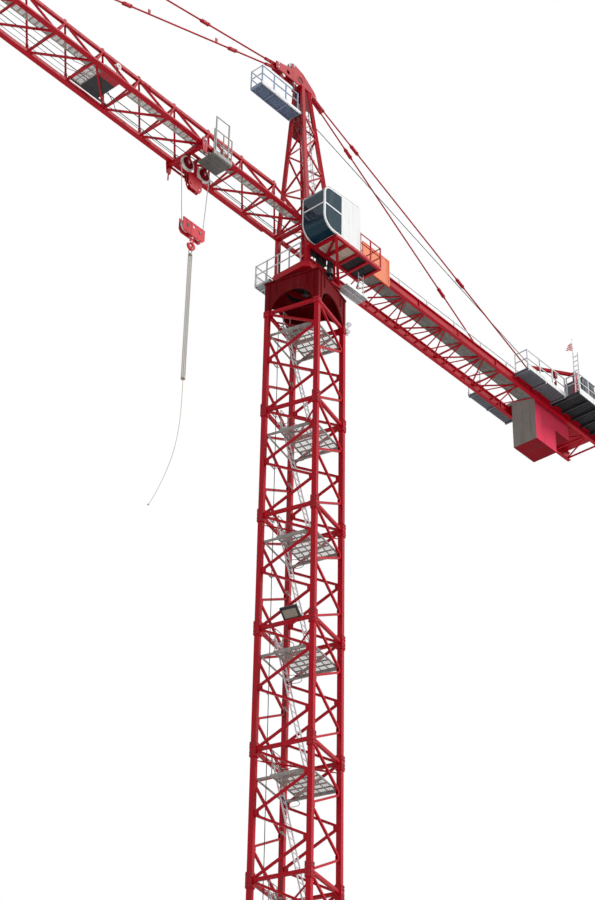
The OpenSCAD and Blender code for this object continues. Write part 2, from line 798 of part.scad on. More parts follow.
module hoist_drum() {
    color("gray") translate([drum_x, 0, drum_z]) rotate([90, 0, 0]) rotate_extrude($fn = 64)
        polygon(concat([[0, -370], [30, -370], [30, -305], [210, -305], [210, -275]],
            [for (i = [0:21], c = [[150, 2], [142, 12.5], [150, 23]]) [c[0], -275 + 25 * i + c[1]]],
            [[210, 275], [210, 305], [30, 305], [30, 370], [0, 370]]));
}

// Two grey cabinets on the wide deck
module electric_cabinet() {
    x = side_x1 - 330;
    color("silver") {
        block([x - 500, beam_y + 140, beam_top], [x, rear_y - 105, beam_top + 620]);
        block([x - 1100, beam_y + 200, beam_top], [x - 560, rear_y - 105, beam_top + 480]);
        for (q = [60, 300]) block([x - 40 - q - 120, rear_y - 105, beam_top + 60],
            [x - 20 - q, rear_y - 93, beam_top + 560]);
    }
}

// The side view of the cab set back by d: flat floor, a full round chin and a rounded brow
module cab_profile(d) {
    f = cab_front;
    r1 = 325;
    r2 = 210;
    zt = cab_h - 270;
    polygon([[cab_rear + d, d], [f - r1, d], [f - r1, r1], [f - d, r1], [f - d, zt], [f - r2, zt],
        [f - r2 + (r2 - d) * 0.0654, zt + (r2 - d) * 0.9979], [cab_rear + 36 + 0.4 * d, cab_h + 2 - d],
        [cab_rear + d, cab_h - 30 - 0.4 * d]]);
    translate([f - r1, r1]) circle(r = r1 - d, $fn = 96);
    translate([f - r2, zt]) circle(r = r2 - d, $fn = 96);
}

module cab_place() {
    translate([0, cab_y0 + cab_w, cab_z0]) rotate([90, 0, 0]) children();
}

// The shaped windows of the cab's sides, in front of the plain rear panel
module cab_window(d, t) {
    linear_extrude(t) intersection() {
        cab_profile(d);
        translate([cab_front - 560, 0]) square([600, cab_h]);
    }
}

// A shell with white rims round the side windows, open in front for the wide glass
module cab_shell() {
    t = 30;
    color("white") cab_place() {
        difference() {
            linear_extrude(cab_w) cab_profile(0);
            translate([0, 0, t]) linear_extrude(cab_w - 2 * t) cab_profile(t);
            translate([0, 0, -1]) cab_window(45, cab_w + 2);
            translate([cab_front - 395, -10, t]) cube([500, cab_h + 40, cab_w - 2 * t]);
        }
        for (z = [0, cab_w - t]) translate([cab_front - 565, 605, z]) cube([555, 36, t]);
        translate([cab_front - 40, 605, t]) cube([36, 36, cab_w - 2 * t]);
    }
}

module cab_glass() {
    t = 30;
    color("lightblue") cab_place() difference() {
        union() {
            for (z = [9, cab_w - 21]) translate([0, 0, z]) cab_window(45, 12);
            translate([0, 0, t]) linear_extrude(cab_w - 2 * t) intersection() {
                difference() {
                    cab_profile(9);
                    cab_profile(21);
                }
                translate([cab_front - 395, -10]) square([500, cab_h + 40]);
            }
        }
        for (z = [0, cab_w - t]) translate([cab_front - 565, 605, z]) cube([555, 36, t]);
        translate([cab_front - 40, 605, t]) cube([36, 36, cab_w - 2 * t]);
    }
}

// The frame under the cab, longer than the cab, with the brace from the turntable's corner
module cab_platform() {
    y0 = leg_y + post_w / 2;
    y1 = cab_y0 + cab_w;
    x0 = -1150;
    x1 = 330;
    z0 = cab_z0 - 70;
    color("crimson") {
        block([x0, y1 - 60, z0], [x1, y1, cab_z0]);
        block([x0, y0, z0], [post_f + post_w / 2, y0 + 60, cab_z0]);
        for (x = [x0, (x0 + cab_rear) / 2, cab_rear - 20, -100, x1 - 60])
            block([x, y0 + 60, z0], [x + 60, y1 - 60, cab_z0]);
        block([x0, y0 + 60, cab_z0 - 12], [cab_rear - 6, y1 - 60, cab_z0]);
        bar([x1 - 30, y1 - 30, z0 + 34], [-70, y0 + 30, z0 + 34], 50, 44);
        difference() {
            bar([x1 - 30, y1 - 30, z0 + 20], [turn_r + 150, turn_y - 20, turn_z + turn_h / 2], 60);
            block([turn_r, -turn_y, turn_z - 100], [turn_f, turn_y, deck_z]);
        }
        rail_along(x0, cab_rear - 8, y1 - 12, cab_z0, 2, rail_h);
        rail_across(y0 + 60, y1, x0 + 12, cab_z0, 1, rail_h);
    }
}

// A bare board in a light rim on the near beam
module sign_board() {
    y = beam_y;
    color("orange") {
        block([-2180, y, chord_z - 155], [-1260, y + 20, chord_z + 570]);
        for (x = [-2180, -1290]) block([x, y + 20, chord_z - 155], [x + 30, y + 28, chord_z + 570]);
        for (z = [chord_z - 155, chord_z + 540]) block([-2180, y + 20, z], [-1260, y + 28, z + 30]);
    }
}

// The trolley's cross-beams, side plates for the wheels, and lugs for the sheaves
module trolley_frame() {
    z = chord_z;
    b = bracket_y;
    color("crimson") {
        for (e = [-1, 1]) translate([hook_x + e * 270, 0, 0]) {
            block([-45, -b - 12, z - 120], [45, b + 12, z - 50]);
            for (s = [-1, 1]) translate([0, s * b + 12, 0]) rotate([90, 0, 0]) linear_extrude(24) {
                polygon([[-80, z + 20], [-80, z - 60], [-50, z - (e > 0 ? 300 : 175)],
                    [50, z - (e > 0 ? 300 : 175)], [80, z - 60], [80, z + 20]]);
                translate([0, z + 20]) circle(r = 80, $fn = 48);
            }
        }
        for (e = [-1, 1]) translate([hook_x + e * sheave_gap, 0, 0]) {
            for (s = [-1, 1]) translate([0, s * 40 + 6, 0]) rotate([90, 0, 0]) linear_extrude(12) {
                translate([-42, sheave_z]) square([84, z - 120 - sheave_z]);
                translate([0, sheave_z]) circle(r = 42, $fn = 48);
            }
            translate([0, 0, sheave_z]) across(axle_r, 104);
        }
        for (s = [-1, 1]) {
            block([hook_x - 225, s * 110 - 20, z - 115], [hook_x + 225, s * 110 + 20, z - 60]);
            block([hook_x - 225, s * b - 12, z - 115], [hook_x + 225, s * b + 12, z - 65]);
        }
        block([hook_x - 30, -90, z - 110], [hook_x + 30, 90, z - 62]);
        translate([hook_x + 270, -b, z - 480]) cylinder(h = 190, r = 14, $fn = 24);
    }
}

module trolley_wheels() {
    z = chord_z - chord_w / 2 + 14 + 1 + 45;
    y = jib_w / 2 + chord_w / 2 + 20;
    color("dimgray") for (e = [-1, 1], s = [-1, 1]) translate([hook_x + e * 270, 0, z]) {
        translate([0, s * y, 0]) across(45, 30);
        translate([0, s * (bracket_y - 14), 0]) across(14, 4);
    }
}

module trolley_sheave(s) {
    color("white") translate([hook_x + s * sheave_gap, 0, sheave_z]) sheave(sheave_r, 50, axle_r + 0.05);
}

module trolley_sheave_front() { trolley_sheave(1); }
module trolley_sheave_rear() { trolley_sheave(-1); }

// The fitter's basket beside the chord, with its tall guard
module trolley_basket() {
    z = chord_z - 180;
    y = bracket_y + 42;
    color("silver") translate([hook_x, 0, 0]) {
        block([-480, 110, z - 24], [60, y + 12, z]);
        for (y1 = [300, bracket_y - 40]) block([-290, y1, z], [-250, y1 + 20, z + 60]);
        for (y1 = [110, bracket_y - 10]) block([8, y1, z], [32, y1 + 18, z + 65]);
        for (x = [-372, 2]) block([x - 14, y - 12, z], [x + 14, y + 12, z + 1015]);
        for (x = [-468, -223, 48]) block([x - 10, y - 10, z], [x + 10, y + 10, z + 650]);
        for (q = [320, 640]) block([-478, y - 8, z + q], [58, y + 8, z + q + 18]);
        block([-372, y - 8, z + 995], [2, y + 8, z + 1013]);
        block([-480, y + 12, z - 24], [60, y + 20, z + 70]);
    }
}

// The spare block carried under the trolley between the falls
module spare_block() {
    z = chord_z;
    color("crimson") translate([hook_x + 20, 0, 0]) {
        for (s = [-1, 1]) translate([0, s * 38 + 7, 0]) rotate([90, 0, 0]) linear_extrude(14) {
            difference() {
                polygon([[-190, z - 520], [190, z - 520], [190, z - 810], [130, z - 900],
                    [-130, z - 900], [-190, z - 810]]);
                for (q = [-140, 140]) translate([q, z - 790]) circle(r = 24, $fn = 32);
            }
        }
        translate([0, 0, z - 710]) across(130, 48);
        translate([0, 0, z - 710]) across(24, 104);
        block([-60, -31, z - 560], [60, 31, z - 500]);
        block([-50, -16, z - 500], [10, 16, z - 110]);
    }
}

// The two falls of rope, each touching the outer side of an upper and a lower sheave
module rope_falls() {
    n = [cos(fall_a), 0, -sin(fall_a)];
    color("dimgray") for (s = [-1, 1]) rod(
        [hook_x + s * (block_gap + rope_d2 * n[0]), 0, block_z + rope_d2 * n[2]],
        [hook_x + s * (sheave_gap + rope_d1 * n[0]), 0, sheave_z + rope_d1 * n[2]], 2 * rope_r);
}

// The hook block: two cheeks with a cross-head between their lower ends
module hook_block() {
    color("crimson") translate([hook_x, 0, block_z]) {
        for (s = [-1, 1]) translate([0, s * 55 + 8, 0]) rotate([90, 0, 0]) linear_extrude(16) difference() {
            polygon([[-310, 150], [310, 150], [310, -120], [250, -185], [-250, -185],
                [-310, -120]]);
            translate([0, 60]) circle(r = 34, $fn = 32);
        }
        for (s = [-1, 1]) translate([s * block_gap, 0, 0]) across(axle_r, 130);
        for (z = [120, -50]) translate([0, 0, z]) across(10, 130);
        difference() {
            block([-70, -47, -185], [70, 47, -110]);
            translate([0, 0, -186]) cylinder(h = 77, r = 25.05, $fn = 48);
        }
    }
}

module block_sheave(s) {
    color("dimgray") translate([hook_x + s * block_gap, 0, block_z]) sheave(block_r, 50, axle_r + 0.05);
}

module block_sheave_front() { block_sheave(1); }
module block_sheave_rear() { block_sheave(-1); }

// The hook: nut, shank and a curved body with an open throat
module hook() {
    color("darkred") translate([hook_x, 0, block_z]) {
        translate([0, 0, -110]) cylinder(h = 26, r = 36, $fn = 6);
        translate([0, 0, -260]) cylinder(h = 151, r = 25, $fn = 48);
        translate([0, 0, -230]) cylinder(h = 40, r = 38, $fn = 48);
        translate([0, 23, 0]) rotate([90, 0, 0]) linear_extrude(46) {
            difference() {
                translate([0, -400]) circle(r = 102, $fn = 72);
                translate([6, -388]) circle(r = 50, $fn = 64);
                polygon([[6, -388], [130, -372], [130, -280], [30, -280]]);
            }
            polygon([[-24, -225], [24, -225], [34, -300], [10, -346], [-60, -330]]);
        }
    }
}

// One leg of chain, its links turned by turns
module chain_leg(z0, z1, n) {
    p = (z1 - z0) / n;
    for (i = [0:n - 1]) translate([0, 0, z0 + p * i - 6])
        translate(i % 2 == 0 ? [-16, -5.5, 0] : [-5.5, -16, 0])
            cube(i % 2 == 0 ? [32, 11, p + 12] : [11, 32, p + 12]);
}

// A link over the hook and four legs of chain down to the gathering ring
module sling_chains() {
    color("gray") translate([hook_x + 6, 0, block_z]) {
        for (s = [-1, 1]) rod([0, s * 44, -429], [0, s * 44, -600], 16, 8);
        for (z = [-429, -600]) rod([0, -50, z], [0, 50, z], 16, 8);
        translate([0, 0, -640]) cylinder(h = 44, r = 42, $fn = 32);
        for (x = [-22, 22], y = [-22, 22]) translate([x, y, 0]) chain_leg(-3640, -640, 36);
        translate([0, 0, -3665]) cylinder(h = 30, r = 46, $fn = 32);
    }
}

// The loose line under the chains, swept through chosen points
module tag_line() {
    p = [[6, 0, -3665], [9, 4, -3950], [22, 14, -4300], [52, 24, -4700], [104, 26, -5100],
        [182, 18, -5500], [288, 0, -5880], [412, -16, -6240], [540, -16, -6540], [640, -6, -6740],
        [695, 0, -6830]];
    n = len(p);
    m = 8;
    r = 7;
    color("tan") translate([hook_x, 0, block_z]) polyhedron(
        points = [for (q = p, i = [0:m - 1]) q + [r * cos(360 / m * i), r * sin(360 / m * i), 0]],
        faces = concat([[for (i = [0:m - 1]) i]], [[for (i = [0:m - 1]) n * m - 1 - i]],
            [for (k = [0:n - 2], i = [0:m - 1]) let (j = (i + 1) % m)
                [k * m + i, (k + 1) * m + i, k * m + j]],
            [for (k = [0:n - 2], i = [0:m - 1]) let (j = (i + 1) % m)
                [k * m + j, (k + 1) * m + i, (k + 1) * m + j]]));
}

base_frame();
tower_legs();
tower_side_1();
tower_side_2();
tower_side_3();
tower_side_4();
rest_platforms();
tower_ladders();
ring_support();
fixed_race();
turning_race();
turntable();
slewing_motors();
slewing_deck();
head_posts();
head_legs();
head_bracing();
head_plates();
head_pulley();
head_platform();
jib_lower_chords();
jib_top_chord();
jib_side_near();
jib_side_far();
jib_floor_bracing();
jib_walkway();
jib_tip();
trolley_winch();
jib_ties();
counter_ties();
counter_beams();
counter_bracing();
counter_walkway();
counter_rails();
ballast_blocks();
side_walkway();
rear_platform();
rear_rails();
access_ladder();
service_davit();
hoist_frame();
hoist_drum();
electric_cabinet();
cab_platform();
cab_shell();
cab_glass();
sign_board();
trolley_frame();
trolley_wheels();
trolley_sheave_front();
trolley_sheave_rear();
trolley_basket();
spare_block();
rope_falls();
hook_block();
block_sheave_front();
block_sheave_rear();
hook();
sling_chains();
tag_line();
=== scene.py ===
from itertools import product
from math import copysign, cos, pi, radians, sin

import bpy
from mathutils import Matrix, Vector


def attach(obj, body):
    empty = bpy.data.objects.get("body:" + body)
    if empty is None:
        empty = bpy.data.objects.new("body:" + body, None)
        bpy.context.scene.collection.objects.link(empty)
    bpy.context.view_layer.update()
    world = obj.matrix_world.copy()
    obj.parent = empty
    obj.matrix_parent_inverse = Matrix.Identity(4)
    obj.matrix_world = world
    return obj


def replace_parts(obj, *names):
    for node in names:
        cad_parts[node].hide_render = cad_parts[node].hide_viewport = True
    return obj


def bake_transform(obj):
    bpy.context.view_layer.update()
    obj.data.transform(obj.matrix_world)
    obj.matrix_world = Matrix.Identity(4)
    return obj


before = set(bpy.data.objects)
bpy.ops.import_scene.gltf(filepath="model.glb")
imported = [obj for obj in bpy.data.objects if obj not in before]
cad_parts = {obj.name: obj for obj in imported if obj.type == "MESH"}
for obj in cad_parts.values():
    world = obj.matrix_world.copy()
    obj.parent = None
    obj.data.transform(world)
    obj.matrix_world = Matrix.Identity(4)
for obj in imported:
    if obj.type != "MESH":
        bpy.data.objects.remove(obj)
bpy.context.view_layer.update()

# The viewpoint: on the ground before the near side of the jib, looking steeply up. The crane
# stands on rising ground in the photograph, so the eye lies below the base of the tower.
eye = Vector((25.545, 22.625, -11.275))
ahead = Vector((-0.6173, -0.5502, 0.5624)).normalized()
level = Vector((-0.6654, 0.7465, 0.0)).normalized()
roll = radians(1.13)
side = cos(roll) * level + sin(roll) * level.cross(ahead)
focal_pixels, picture_height, sensor = 2065.15, 900, 36
lens_data = bpy.data.cameras.new("viewpoint")
lens_data.sensor_width = sensor
lens_data.lens = focal_pixels * sensor / picture_height
lens_data.clip_end = 400
viewpoint = bpy.data.objects.new("viewpoint", lens_data)
turned_view = Matrix((side, side.cross(ahead), -ahead)).transposed().to_4x4()
viewpoint.matrix_world = Matrix.Translation(eye) @ turned_view
bpy.context.collection.objects.link(viewpoint)
bpy.context.scene.camera = viewpoint


# ---- tag line
# A loose fibre rope hangs from the gathering ring of the sling chains and trails sideways.
# Its shape repeats the route of the solid that it stands for; a small knot ends it.
X, Y, Z = Vector((1, 0, 0)), Vector((0, 1, 0)), Vector((0, 0, 1))


def axes_of(axis):
    """The axis as a unit vector, and two directions across it."""
    axis = Vector(axis).normalized()
    one = axis.cross(Z if abs(axis.z) < 0.9 else X).normalized()
    return axis, one, axis.cross(one)


def circle(radius, count, shift=0.0):
    """Pairs spread evenly round a circle; the first is shifted by a share of one step."""
    turns = [2 * pi * (k + shift) / count for k in range(count)]
    return [(radius * cos(t), radius * sin(t)) for t in turns]


verts, faces = [], []  # of the piece in progress


def add(points, loops):
    """Adds points and faces to the piece in progress."""
    start = len(verts)
    verts.extend(tuple(p) for p in points)
    faces.extend([start + i for i in loop] for loop in loops)


def skin(rings, closed=False, caps=True):
    """Joins rings of equally many points; caps close the first and the last."""
    count, sides = len(rings), len(rings[0])
    loops = []
    for i, k in product(range(count if closed else count - 1), range(sides)):
        here, there, m = i * sides, (i + 1) % count * sides, (k + 1) % sides
        loops.append((here + k, here + m, there + m, there + k))
    if caps and not closed:
        loops += [range(sides - 1, -1, -1), range((count - 1) * sides, count * sides)]
    add([p for ring in rings for p in ring], loops)


def box(low, high):
    (a, b, c), (d, e, f) = low, high
    skin([[(a, b, z), (d, b, z), (d, e, z), (a, e, z)] for z in (c, f)])


def tube(path, radius, sides=8, closed=False):
    path = [Vector(p) for p in path]
    count, rings, normal = len(path), [], None
    for i, p in enumerate(path):
        if closed:
            along = path[(i + 1) % count] - path[i - 1]
        else:
            along = path[min(i + 1, count - 1)] - path[max(i - 1, 0)]
        along.normalize()
        if normal is None:
            normal = axes_of(along)[1]
        normal = (normal - along * normal.dot(along)).normalized()
        across = along.cross(normal)
        r = radius[i] if isinstance(radius, list) else radius
        rings.append([p + c * normal + s * across for c, s in circle(r, sides)])
    skin(rings, closed)


def piece(name, material, body="upper_works", sharp=35):
    """Ends the piece: it rides on the body, if one is given, and wears the given material."""
    mesh = bpy.data.meshes.new(name)
    mesh.from_pydata(verts, [], faces)
    verts.clear()
    faces.clear()
    mesh.validate()
    mesh.polygons.foreach_set("use_smooth", [True] * len(mesh.polygons))
    mesh.set_sharp_from_angle(angle=radians(sharp))
    mesh.materials.append(material)
    made = bpy.data.objects.new(name, mesh)
    bpy.context.collection.objects.link(made)
    if body:
        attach(made, body)
    return made


def linear(colour):
    """A colour given as 0 to 255 on the screen, as the shader's linear colour."""
    shares = [c / 255 for c in colour]
    return (*[c / 12.92 if c < 0.04045 else ((c + 0.055) / 1.055) ** 2.4 for c in shares], 1.0)


def node(tree, kind, inputs=(), **settings):
    """The outputs of a new node; each input is linked to a socket or set to a constant."""
    made = tree.nodes.new("ShaderNode" + kind)
    for name, value in settings.items():
        setattr(made, name, value)
    for spot, value in dict(inputs).items():
        if isinstance(value, bpy.types.NodeSocket):
            tree.links.new(value, made.inputs[spot])
        else:
            made.inputs[spot].default_value = value
    return made.outputs


def reckon(tree, operation, *values):
    return node(tree, "Math", dict(enumerate(values)), operation=operation)[0]


def mix(tree, share, first, second, blend="MIX"):
    return node(tree, "Mix", {0: share, 6: first, 7: second}, data_type="RGBA", blend_type=blend)[2]


def outdoor_group():
    """Weather on steel and stone: tone drift, rain streaks, chips and dust."""
    tree = bpy.data.node_groups.new("outdoor", "ShaderNodeTree")
    sockets = {"INPUT": ("Colour", "Bared", "Rough", "Drift", "Streaks", "Chips"),
               "OUTPUT": ("Colour", "Rough", "Height")}
    for way, names in sockets.items():
        for name in names:
            kind = "NodeSocketColor" if name in ("Colour", "Bared") else "NodeSocketFloat"
            tree.interface.new_socket(name=name, in_out=way, socket_type=kind)
    given = tree.nodes.new("NodeGroupInput").outputs
    out = tree.nodes.new("NodeGroupOutput").inputs
    place = node(tree, "TexCoord")["Object"]

    def noise(scale, detail, vector=place):
        return node(tree, "TexNoise", {"Vector": vector, "Scale": scale, "Detail": detail})["Fac"]

    def span(value, low, high, to_low=0.0, to_high=1.0):
        given = {"Value": value, "From Min": low, "From Max": high, "To Min": to_low, "To Max": to_high}
        return node(tree, "MapRange", given)["Result"]

    stretched = node(tree, "Mapping", {"Vector": place, "Scale": (9, 9, 0.7)})["Vector"]
    tone = span(noise(1.7, 5), 0.3, 0.7)
    fine = noise(55, 3)
    runs = span(noise(1.0, 4, stretched), 0.52, 0.72)
    bare = reckon(tree, "MULTIPLY", span(noise(26, 5), 0.66, 0.70), given["Chips"])
    drift = reckon(tree, "MULTIPLY", tone, given["Drift"])
    faded = mix(tree, drift, given["Colour"], (0.9, 0.86, 0.84, 1), "SOFT_LIGHT")
    grime = reckon(tree, "MULTIPLY", runs, given["Streaks"])
    grimy = mix(tree, grime, faded, (0.07, 0.06, 0.055, 1))
    tree.links.new(mix(tree, bare, grimy, given["Bared"]), out["Colour"])
    rougher = reckon(tree, "ADD", given["Rough"], span(fine, 0.3, 0.7, -0.05, 0.09))
    tree.links.new(reckon(tree, "ADD", rougher, reckon(tree, "MULTIPLY", runs, 0.15)), out["Rough"])
    dent = reckon(tree, "MULTIPLY", bare, -0.6)
    tree.links.new(reckon(tree, "ADD", dent, reckon(tree, "MULTIPLY", fine, 0.25)), out["Height"])
    return tree


outdoor = outdoor_group()


def weather(tree, colour, bared, rough, drift, streaks, chips):
    """The outdoor group with its inputs set, in another tree."""
    given = {"Colour": linear(colour), "Bared": linear(bared), "Rough": rough, "Drift": drift,
             "Streaks": streaks, "Chips": chips}
    return node(tree, "Group", given, node_tree=outdoor)


def finish(name, colour, rough, bared, streaks, chips, metallic=0.0, drift=0.5, relief=0.15,
           depth=0.002, specular=0.5):
    """A weathered material."""
    material = bpy.data.materials.new(name)
    material.use_nodes = True
    tree = material.node_tree
    shader = tree.nodes["Principled BSDF"].inputs
    worn = weather(tree, colour, bared, rough, drift, streaks, chips)
    bump = node(tree, "Bump", {"Strength": relief, "Distance": depth, "Height": worn["Height"]})
    tree.links.new(worn["Colour"], shader["Base Color"])
    tree.links.new(worn["Rough"], shader["Roughness"])
    tree.links.new(bump["Normal"], shader["Normal"])
    shader["Metallic"].default_value = metallic
    shader["Specular IOR Level"].default_value = specular
    return material


def laid_rope(name, colour, rough, twist, metallic=0.0):
    """Rope: slanting strands as raised bands along the run."""
    material = finish(name, colour, rough, (90, 84, 80), 0.1, 0.0, metallic, 0.6, relief=0.6)
    tree = material.node_tree
    given = {"Scale": twist, "Distortion": 0.4, "Vector": node(tree, "TexCoord")["Object"]}
    lay = node(tree, "TexWave", given, bands_direction="DIAGONAL")
    tree.links.new(lay["Fac"], tree.nodes["Bump"].inputs["Height"])
    return material


def smooth_route(points, steps=6):
    """A Catmull-Rom curve through the points."""
    pts = [Vector(p) for p in points]
    pts = [2 * pts[0] - pts[1]] + pts + [2 * pts[-1] - pts[-2]]
    out = []
    for i, k in product(range(1, len(pts) - 2), range(steps)):
        a, b, c, d = pts[i - 1:i + 3]
        t = k / steps
        square, cube = (2 * a - 5 * b + 4 * c - d) * t * t, (3 * b - a - 3 * c + d) * t ** 3
        out.append(0.5 * (2 * b + (c - a) * t + square + cube))
    return out + [pts[-2]]


hook_x, block_z = 3.45, 15.41
fibre = laid_rope("tag_line_fibre", (196, 186, 160), 0.6, 60)
tag_points = [(6, 0, -3665), (9, 4, -3950), (22, 14, -4300), (52, 24, -4700), (104, 26, -5100),
              (182, 18, -5500), (288, 0, -5880), (412, -16, -6240), (540, -16, -6540), (640, -6, -6740),
              (695, 0, -6830)]
tag_route = smooth_route([(hook_x + x / 1000, y / 1000, block_z + z / 1000) for x, y, z in tag_points])
tube(tag_route, 0.006)
tag_line = piece("tag_line_rope", fibre, "hook")
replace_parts(tag_line, "tag_line")
knot_axis = (tag_route[-1] - tag_route[-2]).normalized()
knot_side = knot_axis.cross(Y).normalized()
knot_turns = []
for k in range(40):
    t = 2 * pi * k / 40
    bulge = (0.011 + 0.004 * cos(3 * t)) * (cos(2 * t) * knot_side + sin(2 * t) * Y)
    knot_turns.append(tag_route[-1] - knot_axis * (0.02 - 0.010 * sin(3 * t)) + bulge)
tube(knot_turns, 0.005, closed=True)
tag_knot = piece("tag_line_knot", fibre, "hook")


# ---- floor, light and white background
# A plain pale floor, seen only from above, because the viewpoint lies below it.
# One broad soft lamp from the right, near and above, and even light that is dimmer from below.
floor_mesh = bpy.data.meshes.new("floor")
floor_mesh.from_pydata([(-60, -60, 0), (60, -60, 0), (60, 60, 0), (-60, 60, 0)], [], [(0, 1, 2, 3)])
floor = bpy.data.objects.new("floor", floor_mesh)
bpy.context.collection.objects.link(floor)
floor_look = bpy.data.materials.new("floor_pale")
floor_look.use_nodes = True
tree = floor_look.node_tree
shader = tree.nodes["Principled BSDF"]
shader.inputs["Base Color"].default_value = (0.78, 0.78, 0.77, 1)
shader.inputs["Roughness"].default_value = 0.9
from_below = node(tree, "NewGeometry")["Backfacing"]
clear = node(tree, "BsdfTransparent")[0]
either = node(tree, "MixShader", {0: from_below, 1: shader.outputs[0], 2: clear})[0]
tree.links.new(either, tree.nodes["Material Output"].inputs["Surface"])
floor_mesh.materials.append(floor_look)

world = bpy.data.worlds.new("studio")
bpy.context.scene.world = world
world.use_nodes = True
tree = world.node_tree
rays = node(tree, "LightPath")
sees = rays["Is Camera Ray"]
for kind in ("Is Glossy Ray", "Is Transmission Ray"):
    sees = reckon(tree, "MAXIMUM", sees, rays[kind])
height = node(tree, "SeparateXYZ", {0: node(tree, "TexCoord")["Generated"]})["Z"]
sky_share = node(tree, "MapRange", {"Value": height, "From Min": -0.25, "From Max": 0.3})["Result"]
dome = mix(tree, sky_share, (0.21, 0.215, 0.235, 1), (0.52, 0.53, 0.56, 1))
tree.links.new(mix(tree, sees, dome, (1, 1, 1, 1)), tree.nodes["Background"].inputs["Color"])
tree.nodes["Background"].inputs["Strength"].default_value = 1.0
key_data = bpy.data.lights.new("key", "SUN")
key_data.energy = 1.75
key_data.angle = radians(22)
key = bpy.data.objects.new("key", key_data)
key.rotation_mode = "QUATERNION"
key.rotation_quaternion = Vector((0.36, -0.7, -0.62)).to_track_quat("-Z", "Y")
bpy.context.collection.objects.link(key)
bpy.context.scene.view_settings.view_transform = "Standard"


# ---- finishes of the solids
# Every solid gets its weathered finish: crimson paint on the structure, galvanised steel on
# landings, ladders and rails, and the plainer finishes of machinery, ballast and cab. Some
# finishes hold painted light and shade: sunlit and shaded copies of the red, a shaded copy of
# galvanised steel, a sunlit copy of wire rope, decks with painted shade and pale lit sides,
# and ballast with painted sunlit sides and a shaded underside.
# Each row gives name, colour, roughness, the colour bared under it, streaks, chips and metallic.
def second_coat_or_painted_light(material, axis, colour, bared, streaks=0.25, chips=0.3, source="Normal", limit=0.5):
    """Faces that look along the axis, or points beyond the limit on it, show another colour; it serves a real
    second coat or material, and painted light on lit faces.
    """
    tree = material.node_tree
    base = tree.nodes["Principled BSDF"].inputs["Base Color"]
    value = node(tree, "SeparateXYZ", {0: node(tree, "TexCoord")[source]})[axis]
    if source == "Normal":
        value = reckon(tree, "ABSOLUTE", value)
    second = weather(tree, colour, bared, 0.5, 0.12, streaks, chips)["Colour"]
    over = reckon(tree, "GREATER_THAN", value, limit)
    tree.links.new(mix(tree, over, base.links[0].from_socket, second), base)


red = finish("crimson_paint", (182, 8, 30), 0.36, (104, 58, 50), 0.22, 0.35,
             drift=0.35, specular=0.16)
# Painted shade: a darker copy of the crimson paint for parts that lie in shade: the ring's support and its
# ribs, the web plates inside the head and the sheaves' discs.
shaded_red = finish("shaded_crimson_paint", (112, 3, 14), 0.46, (70, 34, 32), 0.35, 0.35,
                  drift=0.3, specular=0.08)
# Painted light: a lighter, pinker copy of the crimson paint for the hook block and hook.
painted_sunlit_red = finish("sunlit_red_paint", (214, 50, 62), 0.45, (110, 60, 54), 0.3, 0.6,
                  specular=0.16)
ladder_zinc = finish("bright_galvanised_steel", (222, 224, 225), 0.42, (140, 138, 132),
                     0.2, 0.25, 0.2)
zinc = finish("galvanised_steel", (196, 200, 202), 0.42, (130, 128, 122), 0.22, 0.25, 0.3)
dull_zinc = finish("dull_galvanised_steel", (150, 148, 142), 0.6, (96, 92, 86), 0.35, 0.3, 0.2)
brown_zinc = finish("worn_grating_steel", (160, 153, 144), 0.65, (84, 72, 60), 0.4, 0.4, 0.15)
# Painted shade and light: the deck steels are darkened as painted shade of the decks' undersides, deeper for
# the rear platform, and their faces that look along Y are painted pale, a painted highlight of their lit
# sides.
deep_shaded_deck = finish("deep_shaded_deck_steel", (42, 44, 47), 0.55, (40, 42, 44), 0.3, 0.3, 0.2)
half_shaded_deck = finish("half_shaded_deck_steel", (104, 110, 116), 0.55, (60, 62, 64), 0.3, 0.3, 0.2)
for deck_steel in (deep_shaded_deck, half_shaded_deck):
    second_coat_or_painted_light(deck_steel, "Y", (226, 226, 222), (150, 148, 142))
blue_zinc = finish("shaded_galvanised_steel", (132, 148, 172), 0.55, (80, 84, 88),
                   0.3, 0.2, 0.2)
dark_steel = finish("greased_steel", (70, 68, 66), 0.38, (30, 28, 26), 0.5, 0.2, 0.7)
black = finish("motor_black_paint", (26, 27, 30), 0.4, (80, 78, 74), 0.3, 0.3)
winch_paint = finish("winch_paint", (30, 30, 33), 0.4, (80, 78, 74), 0.3, 0.3)
second_coat_or_painted_light(winch_paint, "Y", (176, 18, 36), (96, 50, 44), source="Object", limit=0.1775)
panel_white = finish("white_panel", (232, 232, 228), 0.35, (150, 148, 142), 0.14, 0.12)
stone = finish("cast_concrete", (146, 142, 134), 0.88, (84, 80, 74), 0.4, 0.7,
               drift=0.8, relief=0.5, depth=0.006)
